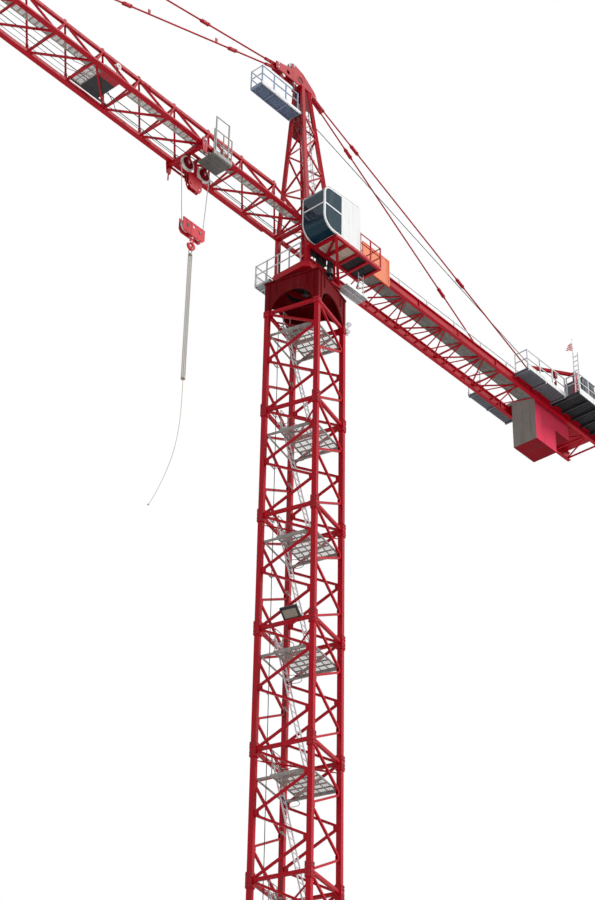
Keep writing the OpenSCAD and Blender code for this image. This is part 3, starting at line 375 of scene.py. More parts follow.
# Painted light and shade: the ballast's base red is darkened as painted shade of the underside and shows on
# the top too, faces that look along Y are painted bright pink as painted sunlight, and faces that look along
# X show the bare concrete.
ballast_lit_and_shaded_paint = finish("ballast_paint_lit_sides_shaded_underside", (136, 8, 24), 0.8, (120, 70, 66), 0.35, 0.6,
                     drift=0.3, relief=0.5, depth=0.006, specular=0.2)
second_coat_or_painted_light(ballast_lit_and_shaded_paint, "Y", (242, 64, 94), (160, 120, 116), chips=0.7)
second_coat_or_painted_light(ballast_lit_and_shaded_paint, "X", (146, 142, 134), (84, 80, 74), 0.4, 0.7)
board_orange = finish("orange_board", (236, 104, 30), 0.4, (170, 80, 40), 0.12, 0.1)
nylon = finish("white_nylon", (224, 224, 216), 0.45, (110, 106, 100), 0.2, 0.3)
cabinet = finish("cabinet_grey_paint", (92, 96, 100), 0.45, (50, 50, 50), 0.35, 0.3)
links_steel = finish("chain_steel", (150, 142, 128), 0.4, (96, 80, 66), 0.3, 0.6, 0.6)
wire = laid_rope("rope_steel_look", (62, 62, 64), 0.42, 90, 0.6)
# Painted light: a lighter copy of the wire rope's finish, for the hoist rope's falls.
sunlit_wire = laid_rope("sunlit_rope_look", (172, 174, 177), 0.42, 90, 0.4)
glass = finish("tinted_glass", (8, 62, 80), 0.05, (40, 60, 66), 0.1, 0.0,
               drift=0.2, relief=0.0, specular=0.25)
glass_shader = glass.node_tree.nodes["Principled BSDF"].inputs
glass_shader["Transmission Weight"].default_value = 0.35
glass_shader["IOR"].default_value = 1.45

worn_by = {
    red: "base_frame tower_legs tower_side_1 tower_side_2 tower_side_3 tower_side_4 turntable head_posts "
         "head_legs head_bracing head_plates jib_lower_chords jib_top_chord jib_side_near jib_side_far "
         "jib_floor_bracing jib_tip jib_ties counter_ties counter_beams counter_bracing cab_platform "
         "service_davit trolley_frame hoist_frame spare_block",
    shaded_red: "ring_support", painted_sunlit_red: "hook_block hook", ladder_zinc: "tower_ladders access_ladder",
    zinc: "slewing_deck counter_rails rear_rails", dull_zinc: "rest_platforms counter_walkway trolley_basket",
    blue_zinc: "head_platform", brown_zinc: "jib_walkway", half_shaded_deck: "side_walkway",
    deep_shaded_deck: "rear_platform", dark_steel: "fixed_race turning_race", black: "slewing_motors",
    winch_paint: "trolley_winch", panel_white: "cab_shell", glass: "cab_glass", ballast_lit_and_shaded_paint: "ballast_blocks",
    board_orange: "sign_board", cabinet: "electric_cabinet", links_steel: "sling_chains", wire: "hoist_drum",
    nylon: "head_pulley trolley_wheels trolley_sheave_front trolley_sheave_rear block_sheave_front "
           "block_sheave_rear",
}
for look, names in worn_by.items():
    for name in names.split():
        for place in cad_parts[name].material_slots:
            place.material = look


# ---- bolts at the tower's joints
# Each leg's sleeve has two rows of hex bolts with washers and nuts on its two outer faces.
def prism(base, axis, radii, sides):
    """Rings of the given (height, radius) pairs along an axis, closed at both ends."""
    axis, one, two = axes_of(axis)
    skin([[Vector(base) + axis * height + c * one + s * two for c, s in circle(radius, sides, 0.5)]
          for height, radius in radii])


def bolt(spot, axis, size):
    """A washer and a hexagon head whose corners are chamfered, with the shank's end showing."""
    prism(spot, axis, [(-0.002, size * 1.15), (size * 0.18, size * 1.15), (size * 0.22, size * 1.05)], 14)
    prism(spot, axis, [(size * 0.2, size * 0.98), (size * 0.8, size * 0.98), (size * 0.92, size * 0.84)], 6)
    prism(spot, axis, [(size * 0.9, size * 0.5), (size * 1.3, size * 0.5), (size * 1.38, size * 0.42)], 10)


def turned(x, y, z, quarter=0):
    """A point of the tower, whose plan is turned against the jib's."""
    t = radians(13.8 + 90 * quarter)
    return Vector((x * cos(t) - y * sin(t), x * sin(t) + y * cos(t), z))


half, foot, bay = 0.579, 0.2, 2.5
inner = half - 0.05
tower_x, tower_y = turned(1, 0, 0), turned(0, 1, 0)
for k in range(7):
    z = min(max(foot + k * bay, 0.275), 15.125)
    rises = (-0.11, -0.05, 0.05, 0.11) if 0 < k < 6 else (-0.04, 0.04)
    for quarter, edge, rise, shift in product(range(4), (-half, half), rises, (-0.034, 0.034)):
        spot = turned(half + 0.065, edge + shift, z + rise, quarter)
        bolt(spot, turned(1, 0, 0, quarter), 0.014)
dull_bolt = finish("dull_bolt_steel", (136, 62, 66), 0.55, (90, 60, 56), 0.3, 0.3, 0.3)
piece("tower_joint_bolts", dull_bolt, "tower")


# ---- gusset plates on the tower's legs
# Where two diagonals meet a leg, a thin plate is welded between them.
for quarter, k, face in product(range(4), range(25), (-0.026, 0.026)):
    z = min(max(foot + k * bay / 4, 0.29), 15.11)
    edge = 1 if k % 2 else -1
    corners = [(inner, -0.06), (inner, 0.06), (inner - 0.07, 0.035), (inner - 0.07, -0.035)]
    skin([[turned(half + face + d, edge * y, z + rise, quarter) for y, rise in corners]
          for d in (edge * 0.003, -edge * 0.003)])
piece("tower_gussets", red, "tower")


# ---- finer bracing inside the tower
# Above each landing a round tube crosses the plan from corner to corner, flattened at its ends.
for k in range(1, 7):
    z, y = foot + k * bay - 0.2, inner if k % 2 else -inner
    a, c = turned(-inner, -y, z), turned(inner, y, z)
    tube([a.lerp(c, t) for t in (0, 0.03, 0.09, 0.5, 0.91, 0.97, 1)],
         [0.01, 0.011, 0.019, 0.019, 0.019, 0.011, 0.01], 10)
piece("tower_plan_bracing", red, "tower")


# ---- hoops of the tower's ladders
# Two thin oval hoops stand out from each leaning run of ladder, one above the landing that
# it serves and one below.
for k, drop in product(range(1, 7), (0.15, 0.92)):
    y, z = -0.33 + 0.236 * drop, foot + k * bay + 0.03 - drop
    tube([turned(0.165 * s, y - 0.155 * c, z) for c, s in circle(1, 28)], 0.006, closed=True)
piece("ladder_hoops", dark_steel, "tower")


# ---- gratings under the landings
# Bearing bars on edge fill the landings' cells, seen from below; a toe plate closes the edge
# at the ladder and a short hand rail stands over it.
def spread(first, last, count):
    """Evenly spaced numbers from first to last."""
    return [first + (last - first) * i / (count - 1) for i in range(count)]


def plank(start, end, wide, thick, facing=Z):
    """A flat bar from start to end; its wide side faces the given direction."""
    start, end, facing = Vector(start), Vector(end), Vector(facing)
    along = (end - start).normalized()
    facing = (facing - along * facing.dot(along)).normalized()
    across, rise = along.cross(facing) * wide / 2, facing * thick / 2
    skin([[p - across - rise, p + across - rise, p + across + rise, p - across + rise]
          for p in (start, end)])


def slab(centre, reach, wide, thick, facing=Z):
    """A flat bar that reaches equally far both ways from its centre."""
    plank(Vector(centre) - reach, Vector(centre) + reach, wide, thick, facing)


for k in range(1, 7):
    z = foot + k * bay - 0.53
    for y in spread(-0.235, 0.53, 31):
        slab(turned(0, y, z - 0.008), 0.5 * tower_x, 0.012, 0.003, tower_y)
    slab(turned(0, -0.263, z - 0.005), 0.5 * tower_x, 0.045, 0.005, tower_y)
    for x in (0.2, 0.5):
        tube([turned(x, -0.25, z - 0.004), turned(x, -0.25, z + 0.5)], 0.01)
    for rise in (0.26, 0.5):
        tube([turned(0.2, -0.25, z + rise), turned(0.5, -0.25, z + rise)], 0.008)
piece("landing_gratings", dull_zinc, "tower")


# ---- cables clipped inside the tower
# The supply cables run up beside the ladder with a little slack between the brackets that
# stand out from the legs and clip them.
rubber = finish("cable_rubber", (14, 15, 20), 0.7, (40, 40, 40), 0.4, 0.1)
for x, y, r, lag, lean in ((0.30, -0.47, 0.0075, 0.0, -0.7), (-0.33, -0.46, 0.006, 0.42, 1)):
    route = []
    for z in spread(0.35, 14.95, 121):
        swing = 0.022 * lean * abs(sin(pi * (z - foot) / 1.25 + lag))
        route.append(turned(x + swing, y + 0.4 * swing, z))
    tube(route, r)
piece("supply_cables", rubber, "tower")
clips = ((0.32, 0.05, 0.27, 0.54), (-0.33, 0.03, -0.54, -0.3))
for z, (x, wide, first, last) in product(spread(1.45, 13.95, 11), clips):
    slab(turned(x, -0.45, z), wide * tower_x, 0.02, 0.005, tower_y)
    for turn in (-1, 1):
        bolt(turned(x + turn * wide * 0.92, -0.447, z), tower_y, 0.006)
    plank(turned(first, -0.487, z), turned(last, -0.487, z), 0.03, 0.01, tower_y)
piece("cable_clips", dull_zinc, "tower")


# ---- floodlight in the tower
# A flat dark lamp hangs outside one tie of the tower on two arms; its pale lens looks outward
# and down, and ribs cool its back.
lamp_at = turned(0.675, 0.16, 7.82)
beam = (tower_x * 0.6 - 0.8 * Z).normalized()
lamp_up = beam.cross(tower_y)
slab(lamp_at, tower_y * 0.17, 0.27, 0.05, beam)
for rise in (-0.115, 0.115):
    slab(lamp_at + lamp_up * rise + beam * 0.027, tower_y * 0.175, 0.055, 0.02, beam)
for turn in (-1, 1):
    slab(lamp_at + tower_y * turn * 0.158 + beam * 0.027, lamp_up * 0.12, 0.034, 0.02, beam)
    arm_foot = lamp_at + tower_y * turn * 0.14 - beam * 0.02
    plank(arm_foot, turned(0.6, 0.16 + turn * 0.14, 7.72), 0.03, 0.008)
for shift in spread(-0.15, 0.15, 11):
    slab(lamp_at + tower_y * shift - beam * 0.028, lamp_up * 0.1, 0.005, 0.02, beam)
piece("tower_floodlight", black, "tower")
slab(lamp_at + beam * 0.026, tower_y * 0.142, 0.178, 0.008, beam)
clear_lens = finish("lamp_lens", (150, 140, 124), 0.15, (90, 84, 80), 0.1, 0.0,
                    drift=0.1, relief=0.05)
piece("tower_floodlight_lens", clear_lens, "tower")


# ---- bolts and ribs of the slewing ring
# Bolts stand in a circle on the turntable's top, whose hole is closed by a black floor, painted
# shade, with the cables' collector; ribs stiffen the plates of the ring's support, in the darker
# copy of the red that is painted shade.
for x, y in circle(0.465, 48, 0.5):
    at_post = min(abs(x - 0.45), abs(x + 0.375)) < 0.1 and abs(abs(y) - 0.416) < 0.1
    if not at_post:
        bolt((x, y, 16.25), Z, 0.013)
piece("ring_bolts", zinc)
# The black disc over the ring's hole is painted shade.
prism((0, 0, 16.2505), Z, [(0, 0.43), (0.005, 0.43)], 48)
prism((0, 0, 15.86), Z, [(0, 0.05), (0.01, 0.07), (0.3, 0.07), (0.39, 0.1)], 28)
for i in range(5):
    c, s = cos(0.5 + i * 0.25), sin(0.5 + i * 0.25)
    bends = ((0.06, 15.9), (0.2, 15.93 + 0.02 * i), (0.3, 16.08), (0.36, 16.25))
    tube(smooth_route([(r * c, r * s, z) for r, z in bends]), 0.009)
piece("ring_shade_floor_and_cables", black)
for quarter in range(4):
    outward = turned(1, 0, 0, quarter)
    for y, low in ((-0.52, 15.22), (-0.36, 15.6), (0.36, 15.6), (0.52, 15.22)):
        plank(turned(0.636, y, low, quarter), turned(0.636, y, 15.915, quarter), 0.012, 0.02, outward)
    for y in spread(-0.56, 0.56, 14):
        bolt(turned(0.638, y, 15.933, quarter), outward, 0.009)
piece("support_ribs", shaded_red, "tower")


# ---- grating of the slewing deck
# Bearing bars run under the railed deck beside the turntable, and wire mesh closes its rail.
def bars(axis, places, half_width, low, high):
    """Thin boxes at places along axis 0 or 1; low and high give their ends on the other two."""
    for c in places:
        ends = [list(low), list(high)]
        ends[0].insert(axis, c - half_width)
        ends[1].insert(axis, c + half_width)
        box(*ends)


def wire_mesh(y, uprights, levels, x0, x1, thin, thick):
    """Thin uprights and thicker level wires in the plane of the given y."""
    for x in uprights:
        tube([(x, y, levels[0]), (x, y, levels[-1])], thin, 4)
    for z in levels:
        tube([(x0, y, z), (x1, y, z)], thick, 4)


for x in spread(-0.39, 0.57, 27):
    box((x - 0.003, -0.935, 16.206), (x + 0.003, -0.725 if -0.17 < x < 0.05 else -0.53, 16.2255))
for x0, x1, places in ((-0.395, 0.575, (-0.93, -0.73)), (-0.395, -0.17, (-0.54,)), (0.05, 0.575, (-0.54,))):
    bars(1, places, 0.003, (x0, 16.196), (x1, 16.226))
piece("slewing_deck_bars", zinc)
wire_mesh(-0.928, spread(-0.36, 0.54, 32), (16.33, 16.39, 16.45, 16.5), -0.37, 0.55, 0.0022, 0.0025)
piece("slewing_deck_mesh", zinc)


# ---- parts of the slewing motors
# Each motor has a fan cowl with a lid, a ring of bolts, and a terminal box with a cable.
for turn in (-1, 1):
    y = turn * 0.615
    prism((-0.06, y, 16.458), Z, [(0, 0.058), (0.03, 0.058), (0.046, 0.048), (0.048, 0.03)], 32)
    for dx, dy in circle(0.068, 8):
        bolt((-0.06 + dx, y + dy, 16.26), Z, 0.006)
    box((-0.15, y - 0.03, 16.34), (-0.11, y + 0.03, 16.41))
    bends = ((-0.14, 0, 16.345), (-0.16, 0.03, 16.29), (-0.2, 0.07, 16.262), (-0.3, 0.1, 16.258))
    tube(smooth_route([(x, y - turn * d, z) for x, d, z in bends]), 0.007)
piece("slewing_motor_parts", black)


# ---- ladder inside the head
# A galvanised ladder with hoops climbs inside the head from the jib's foot, on small brackets;
# thin web plates in the darker copy of the red, which is painted shade, close the sides of the head under the
# cap.
def on_leg(leg, turn, z):
    """A point of one of the head's legs, which leans from its first x to its second."""
    t = (z - 17.39) / 4.16
    return Vector((leg[0] + t * (leg[1] - leg[0]), turn * (0.416 - 0.306 * t), z))


def on_rail(z, turn=1):
    """A point of the ladder's rail."""
    t = (z - 17.4) / 4.05
    return Vector((-0.30 + 0.43 * t, turn * (0.08 - 0.02 * t), z))


def on_hoop(z, step):
    """A point of the hoop at the height z, ten steps from rail to rail."""
    angle = pi * step / 10
    return on_rail(z).x + 0.2 * sin(angle), 0.14 * cos(angle), z


rear_leg, front_leg = (-0.375, 0.16), (0.45, 0.36)
hoop_levels = spread(18.3, 20.28, 7)
for turn in (-1, 1):
    tube([on_rail(17.4, turn), on_rail(21.45, turn)], 0.011)
for z in spread(17.481, 21.381, 27):
    tube([on_rail(z, -1), on_rail(z)], 0.008)
for z, turn in product((18.2, 19.3, 20.4), (-1, 1)):
    plank(on_rail(z, turn), on_leg(rear_leg, turn, z), 0.03, 0.006)
for z in hoop_levels:
    x = on_rail(z).x
    tube([(x, 0.072, z)] + [on_hoop(z, k) for k in range(11)] + [(x, -0.072, z)], 0.007, 6)
for k in (2, 5, 8):
    tube([on_hoop(z, k) for z in hoop_levels], 0.006, 6)
piece("head_ladder", ladder_zinc)
for z0, z1, turn in ((20.25, 20.86, -1), (20.86, 21.5, -1), (20.86, 21.5, 1)):
    round_web = ((rear_leg, z0), (front_leg, z0), (front_leg, z1), (rear_leg, z1))
    corners = [on_leg(leg, turn, z) for leg, z in round_web]
    skin([[p + d * Y for p in corners] for d in (0.003, -0.003)])
piece("head_web_plates", shaded_red)


# ---- pins and cotters of the ties
# Each pin at the head, on the jib and on the counter-jib has a keeper plate and a split pin.
def keeper(x, y, z, turn, r=0.016):
    """A washer, the pin's end and a bent split pin on one side of an eye."""
    prism((x, y, z), turn * Y, [(-0.002, r * 1.5), (0.006, r * 1.5), (0.008, r * 1.35)], 20)
    prism((x, y, z), turn * Y, [(0.004, r), (0.018, r), (0.021, r * 0.8)], 20)
    y += turn * 0.013
    bent = (x + r * 1.6, y, z + 0.004)
    tube([(x - r * 1.5, y, z - 0.002), bent], 0.0025, 6)
    tube([bent, (x + r * 1.9, y + turn * 0.006, z + 0.012)], 0.002, 6)


node_0, panel = 0.57, 1.025
for turn in (-1, 1):
    for x, y, z in ((1.13, 0.072, 21.74), (1.13, 0.072, 21.635), (-0.12, 0.075, 21.6)):
        keeper(x, turn * y, z, turn)
    keeper(0.62, turn * 0.072, 22.03, turn, 0.018)
    for k in (9.5, 16.5):
        keeper(node_0 + k * panel, turn * 0.032, 18.325, turn)
    for y in (-0.455, 0.455):
        keeper(-8.6, y + turn * 0.032, 17.56, turn)
piece("tie_pins_and_cotters", zinc)


# ---- couplings of the tie rods
# Two cheek plates with a pin at each end join the rods' lengths; the plates stand proud of
# the forged block between them. Two thick links join each tie to the head.
def coupling(middle, u, d):
    """The joint of two rods of thickness d that run along u."""
    side_way = (Y - u * u.y).normalized()
    for turn in (-1, 1):
        cheek = middle + side_way * turn * (0.7 * d + 0.004)
        slab(cheek, u * 0.13, 1.5 * d, 0.008, side_way)
        for shift in (-0.085, 0.085):
            bolt(cheek + u * shift + side_way * turn * 0.003, side_way * turn, 0.42 * d)
        prism(middle + u * turn * 0.108, u * turn, [(0, d * 0.72), (0.05, d * 0.66), (0.07, d * 0.53)], 20)


for start, end, d, shares in (((1.13, 0, 21.74), (17.4825, 0, 18.325), 0.038, (0.14, 0.38, 0.62, 0.86)),
                              ((1.13, 0, 21.635), (10.3075, 0, 18.325), 0.038, (0.154, 0.495, 0.83)),
                              ((-0.12, 0.024, 21.6), (-8.6, 0.455, 17.56), 0.034, (0.16, 0.59)),
                              ((-0.12, -0.024, 21.6), (-8.6, -0.455, 17.56), 0.034, (0.16, 0.59))):
    start, end = Vector(start), Vector(end)
    run = (end - start).normalized()
    lift = run.cross(Y).normalized()
    for share in shares:
        coupling(start.lerp(end, share), run, d)
    for turn, (a, c, rise) in product((-1, 1), ((0.02, 0.21, 0.031), (0.18, 0.38, 0.024))):
        root = start + lift * turn * rise
        plank(root + run * a, root + run * c, 0.044, 0.011, lift)
    for a in (0.04, 0.195, 0.36):
        for turn in (-1, 1):
            bolt(start + run * a + turn * 0.02 * Y, turn * Y, 0.014)
        slab(start + run * a, run * 0.018, 0.044, 0.06, lift)
piece("tie_couplings", red)


# ---- edges of the head's platform
# A white toe board, bearing bars and cross frames under the railed platform that stands out
# of the head.
bars(0, spread(0.49, 1.73, 50), 0.0015, (-0.165, 20.634), (0.165, 20.6505))
bars(0, (0.5, 0.9, 1.32, 1.735), 0.012, (-0.172, 20.612), (0.172, 20.6505))
box((0.48, -0.174, 20.612), (1.748, -0.160, 20.651))
piece("head_platform_bars", blue_zinc)
box((0.48, 0.1755, 20.625), (1.752, 0.1805, 20.69))
box((0.48, 0.158, 20.612), (1.748, 0.174, 20.651))
for z in (20.92, 21.15):
    tube([(1.745, -0.155, z), (1.745, 0.155, z)], 0.012)
piece("head_platform_toe_board", panel_white)


# ---- hoist rope and trolley rope
# The hoist rope goes from the drum under a guide sheave in the head, over the head's pulley,
# down to a sheave at the jib's root and along under the jib. The trolley rope's runs go from
# the winch to the jib's tip and to its root.
def round_rim(x, z, r, first, last, y=0.0, steps=12):
    """Points on a sheave's rim in the plane of the given y, between two angles in degrees."""
    return [(x + r * cos(t), y, z + r * sin(t)) for t in spread(radians(first), radians(last), steps + 1)]


tube([(-9.925, 0.22, 17.949), (-9.7, 0.215, 18.018)] + round_rim(0.3, 21.04, 0.09, -74, -7)
          + round_rim(0.62, 22.03, 0.104, 173, -12, steps=20) + [(0.33, 0, 20.74), (-0.06, 0.064, 17.6)]
          + round_rim(0.04, 17.32, 0.1, 180, 272, 0.066) + [(1.5, 0.066, 17.19), (14.0, 0.066, 17.186),
          (24.95, 0.066, 17.19), (25.26, 0.066, 17.262)], 0.009)
for turn in (-1, 1):
    bends = ((6.235, 0.05, 17.557), (6.75, 0.127, 17.379), (7.0, 0.13, 17.3), (14.0, 0.13, 17.298),
             (25.24, 0.13, 17.3))
    tube([(x, turn * y, z) for x, y, z in bends], 0.006, 6)
tube([(6.135, -0.03, 17.557), (5.63, -0.19, 17.378), (5.56, -0.212, 17.3), (3.0, -0.212, 17.298),
           (0.62, -0.212, 17.3)], 0.009)
tube([(0.62, -0.256, 17.3), (12.0, -0.256, 17.297), (25.24, -0.256, 17.3)], 0.006, 6)
piece("wire_ropes", wire)
for x, y, z, r in ((0.04, 0.066, 17.32, 0.09), (0.3, 0.0, 21.04, 0.081)):
    rim = [(0, 0.01), (0.004, 0.016), (0.012, 0), (0.024, 0), (0.032, 0.016), (0.036, 0.01)]
    prism((x, y - 0.018, z), Y, [(height, r + out) for height, out in rim], 40)
    prism((x, y - 0.05, z), Y, [(0, 0.016), (0.1, 0.016)], 16)
piece("rope_guide_sheaves", nylon)
for turn in (-1, 1):
    slab((0.04, 0.066 + turn * 0.036, 17.33), 0.16 * X, 0.1, 0.008, Y)
    bolt((0.04, 0.066 + turn * 0.04, 17.32), turn * Y, 0.014)
    plank((0.3, turn * 0.036, 20.98), (0.3, turn * 0.036, 21.535), 0.06, 0.008, Y)
    bolt((0.3, turn * 0.04, 21.04), turn * Y, 0.014)
box((-0.125, -0.45, 17.36), (-0.09, 0.45, 17.395))
box((0.165, -0.45, 17.36), (0.2, 0.45, 17.395))
box((25.225, 0.054, 17.255), (25.265, 0.078, 17.272))
piece("rope_sheave_frames", red)


# ---- falls of rope to the hook block
# The two falls of wire rope between the trolley's sheaves and the hook block's. Their points are
# blended between the two.
fall_top, fall_foot = (hook_x, 0, 17.0138), (hook_x, 0, 15.4017)
for turn in (-1, 1):
    top, low = Vector(fall_top) + turn * 0.4023 * X, Vector(fall_foot) + turn * 0.2943 * X
    tube([top.lerp(low, share) for share in spread(0, 1, 33)], 0.009, 12)
# The falls wear the lighter copy of the rope's finish, which is painted light.
fall_ropes = piece("hoist_rope_falls", sunlit_wire, None)
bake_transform(fall_ropes)
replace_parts(fall_ropes, "rope_falls")


# ---- joints and gussets of the jib
# The jib comes in lengths of four panels: forks with pins join its chords. Small gussets
# sit at each node of the lattice.
chord_y, low_chord_z, top_chord_z = 0.416, 17.33, 18.23
for k in range(4, 24, 4):
    x = node_0 + k * panel - 0.2
    for turn in (-1, 1):
        y = turn * chord_y
        slab((x, y - turn * 0.044, 17.335), 0.09 * X, 0.07, 0.009, Y)
        for face in (-1, 1):
            slab((x, y, low_chord_z + face * 0.0435), 0.09 * X, 0.06, 0.008)
        for shift in (-0.045, 0.045):
            bolt((x + shift, y, low_chord_z + 0.047), Z, 0.014)
            bolt((x + shift, y, low_chord_z - 0.047), -Z, 0.012)
    x += 0.5
    for face in (-1, 1):
        slab((x, face * 0.038, top_chord_z), 0.1 * X, 0.066, 0.008, Y)
        for shift in (-0.05, 0.05):
            bolt((x + shift, face * 0.041, top_chord_z), face * Y, 0.013)
for k, turn, lean in product(range(25), (-1, 1), (-1, 1)):
    if (k, lean) not in ((0, -1), (24, 1)):
        base = Vector((node_0 + k * panel, turn * chord_y, low_chord_z))
        peak = Vector((base.x + lean * panel / 2, 0, top_chord_z))
        along = (peak - base).normalized()
        plank(base + along * 0.045, base + along * 0.155, 0.07, 0.006, along.cross(X))
piece("jib_joints", red)


# ---- parts of the jib's walkway
# Fine bearing bars cross the cells of the grating inside the jib and of the wide piece beside
# the winch; four long wires tie them.
cells = ((0.556, 5.688, 0.182, 0.348), (6.7275, 25.166, 0.182, 0.348), (6.462, 6.708, -0.27, 0.27))
for first, last, low, high in cells:
    places = spread(first, last, round((last - first) / 0.0123) + 1)
    bars(0, places, 0.0012, (low, 17.3505), (high, 17.3595))
for first, last in ((0.556, 5.69), (6.73, 25.166)):
    bars(1, (0.21, 0.25, 0.29, 0.33), 0.0015, (first, 17.352), (last, 17.3585))
piece("jib_walkway_bars", brown_zinc)


# ---- parts of the trolley winch
# Thin rope is wound on the winch's drum, ribs cool its motor, and a white reel stands over
# it on a slender post.
def coil(centre, radius, pitch, turns, steps, thick, sides):
    """Rope wound round the y axis from the centre, at the given pitch."""
    x, y, z = centre
    angles = spread(0, 2 * pi * turns, turns * steps + 1)
    tube([(x + radius * cos(t), y + pitch * t / (2 * pi), z + radius * sin(t)) for t in angles], thick, sides)


winch_x = 6.185
coil((winch_x, -0.085, 17.489), 0.083, 0.0066, 26, 24, 0.0034, 5)
for y in spread(-0.278, -0.138, 8):
    prism((winch_x, y, 17.489), Y, [(0, 0.071), (0.006, 0.071)], 28)
prism((winch_x, -0.302, 17.489), Y, [(0, 0.045), (0.008, 0.062), (0.03, 0.066)], 28)
box((winch_x - 0.04, -0.25, 17.545), (winch_x + 0.04, -0.17, 17.59))
bends = ((0.03, -0.21, 17.57), (0.1, -0.22, 17.56), (0.16, -0.24, 17.46), (0.2, -0.26, 17.38))
tube(smooth_route([(winch_x - d, y, z) for d, y, z in bends]), 0.008)
piece("trolley_winch_parts", black)
for x, z in product(spread(winch_x - 0.19, winch_x + 0.19, 5), (17.385, 17.525)):
    bolt((x, 0.3445, z), Y, 0.008)
prism((winch_x, 0.3445, 17.455), Y, [(0, 0.05), (0.006, 0.05), (0.012, 0.036), (0.016, 0.036)], 32)
piece("trolley_winch_gear_cover", red)
for y in (0.12, 0.172):
    prism((5.9, y, 17.975), Y, [(0, 0.062), (0.002, 0.067), (0.006, 0.067), (0.008, 0.062)], 40)
prism((5.9, 0.126, 17.975), Y, [(0, 0.046), (0.048, 0.046)], 32)
piece("signal_cable_reel", nylon)
tube([(5.975, 0.15, 17.372), (5.915, 0.15, 17.85), (5.902, 0.15, 17.93)], 0.011, 10)
prism((5.9, 0.112, 17.975), Y, [(0, 0.014), (0.076, 0.014)], 16)
piece("signal_cable_reel_post", red)


# ---- inside of the cab
# A padded seat on a pedestal with two armrest consoles and levers, and a dark floor mat.
def soft(c, power=0.35):
    """A cosine bent towards a square, for padded edges."""
    return copysign(abs(c) ** power, c)


seat_cloth = finish("seat_cloth", (44, 46, 52), 0.8, (30, 30, 34), 0.1, 0.1, relief=0.4)
for low, high in (((0.0, 0.7, 16.98), (0.24, 0.93, 17.03)), ((-0.06, 0.71, 17.03), (0.0, 0.92, 17.38))):
    (x, y, z), (a, b, c) = (Vector(high) + Vector(low)) / 2, (Vector(high) - Vector(low)) / 2
    skin([[(x + a * soft(cos(u)) * soft(p), y + b * soft(cos(u)) * soft(q), z + c * soft(sin(u), 0.5))
           for p, q in circle(1, 20)] for u in spread(-pi / 2, pi / 2, 13)], caps=False)
piece("operator_seat", seat_cloth, sharp=60)
prism((0.12, 0.815, 16.786), Z, [(0, 0.11), (0.012, 0.1), (0.02, 0.035), (0.19, 0.03)], 24)
for y in (0.655, 0.975):
    box((0.02, y - 0.035, 17.08), (0.3, y + 0.035, 17.13))
    prism((0.1, y, 16.79), Z, [(0, 0.03), (0.29, 0.03)], 16)
    tube([(0.25, y, 17.13), (0.255, y, 17.2)], [0.006, 0.008])
    prism((0.255, y, 17.195), Z, [(0, 0.01), (0.012, 0.017), (0.03, 0.015), (0.038, 0.006)], 14)
bars(0, spread(-0.32, 0.355, 10), 0.03, (0.56, 16.786), (1.07, 16.789))
piece("operator_consoles", black)


# ---- trim of the cab
# A rubber seal runs inside the windows, and hinges, door handle, hand grip, rain gutters,
# wiper hub and the ribs of the roof are fitted outside.
cab_floor = 16.755


def cab_outline(inset):
    """The cab's front from its foot round to the roof, as pairs of x and height over its floor."""
    pts = []
    for z, r, first, last, count in ((0.325, 0.325, -90, 0, 25), (0.92, 0.21, 0, 86.25, 23)):
        arc = round_rim(0.724 - r, z, r - inset, first, last, steps=count - 1)
        pts += [(x, height) for x, y, height in arc]
    return pts


for y in (0.5205, 1.1065):
    ring = [(x, y, cab_floor + z) for x, z in cab_outline(0.052) if x > 0.172]
    tube([(0.172, y, ring[0][2])] + ring + [(0.172, y, cab_floor + 1.116)], 0.008, 6, closed=True)
for y in (0.545, 1.083):
    tube([(x, y, cab_floor + z) for x, z in cab_outline(0.012) if x > 0.36], 0.006, 6)
piece("window_seals", rubber)
for y in (0.509, 1.118):
    tube([(-0.4, y, 17.93), (0.5, y, 17.872)], 0.003, 6)
for x, z in product((-0.12, 0.1), (17.0, 17.6)):
    box((x - 0.015, 1.113, z - 0.03), (x + 0.015, 1.1205, z + 0.03))
grip = ((1.114, 17.25), (1.12, 17.27), (1.12, 17.4), (1.114, 17.42))
tube(smooth_route([(-0.06, y, z) for y, z in grip], 5), 0.0035)
tube([(-0.445, 0.62, 17.1), (-0.465, 0.62, 17.12), (-0.465, 0.62, 17.55), (-0.445, 0.62, 17.57)], 0.008)
for y in (0.6, 1.02):
    tube([(-0.457, y, 16.8), (-0.457, y, 17.85)], 0.004, 6)
piece("cab_trim", zinc)
tube([(0.7205, 0.78, 17.3), (0.7265, 0.78, 17.3)], 0.012, 12)
piece("wiper_hub", black)
roof_line = [(x - 0.004, cab_floor + z + 0.001) for x, z in cab_outline(-0.002) if z > 0.93]
roof_line.append((-0.4, cab_floor + 1.192))
for y, ((xa, za), (xb, zb)) in product((0.51, 1.117), list(zip(roof_line, roof_line[1:]))):
    plank((xa, y, za), (xb, y, zb), 0.012, 0.008, Y)
for y in spread(0.58, 1.048, 7):
    slab((0.06, y, 17.945), 0.44 * X, 0.016, 0.008)
piece("cab_roof_edge", black)


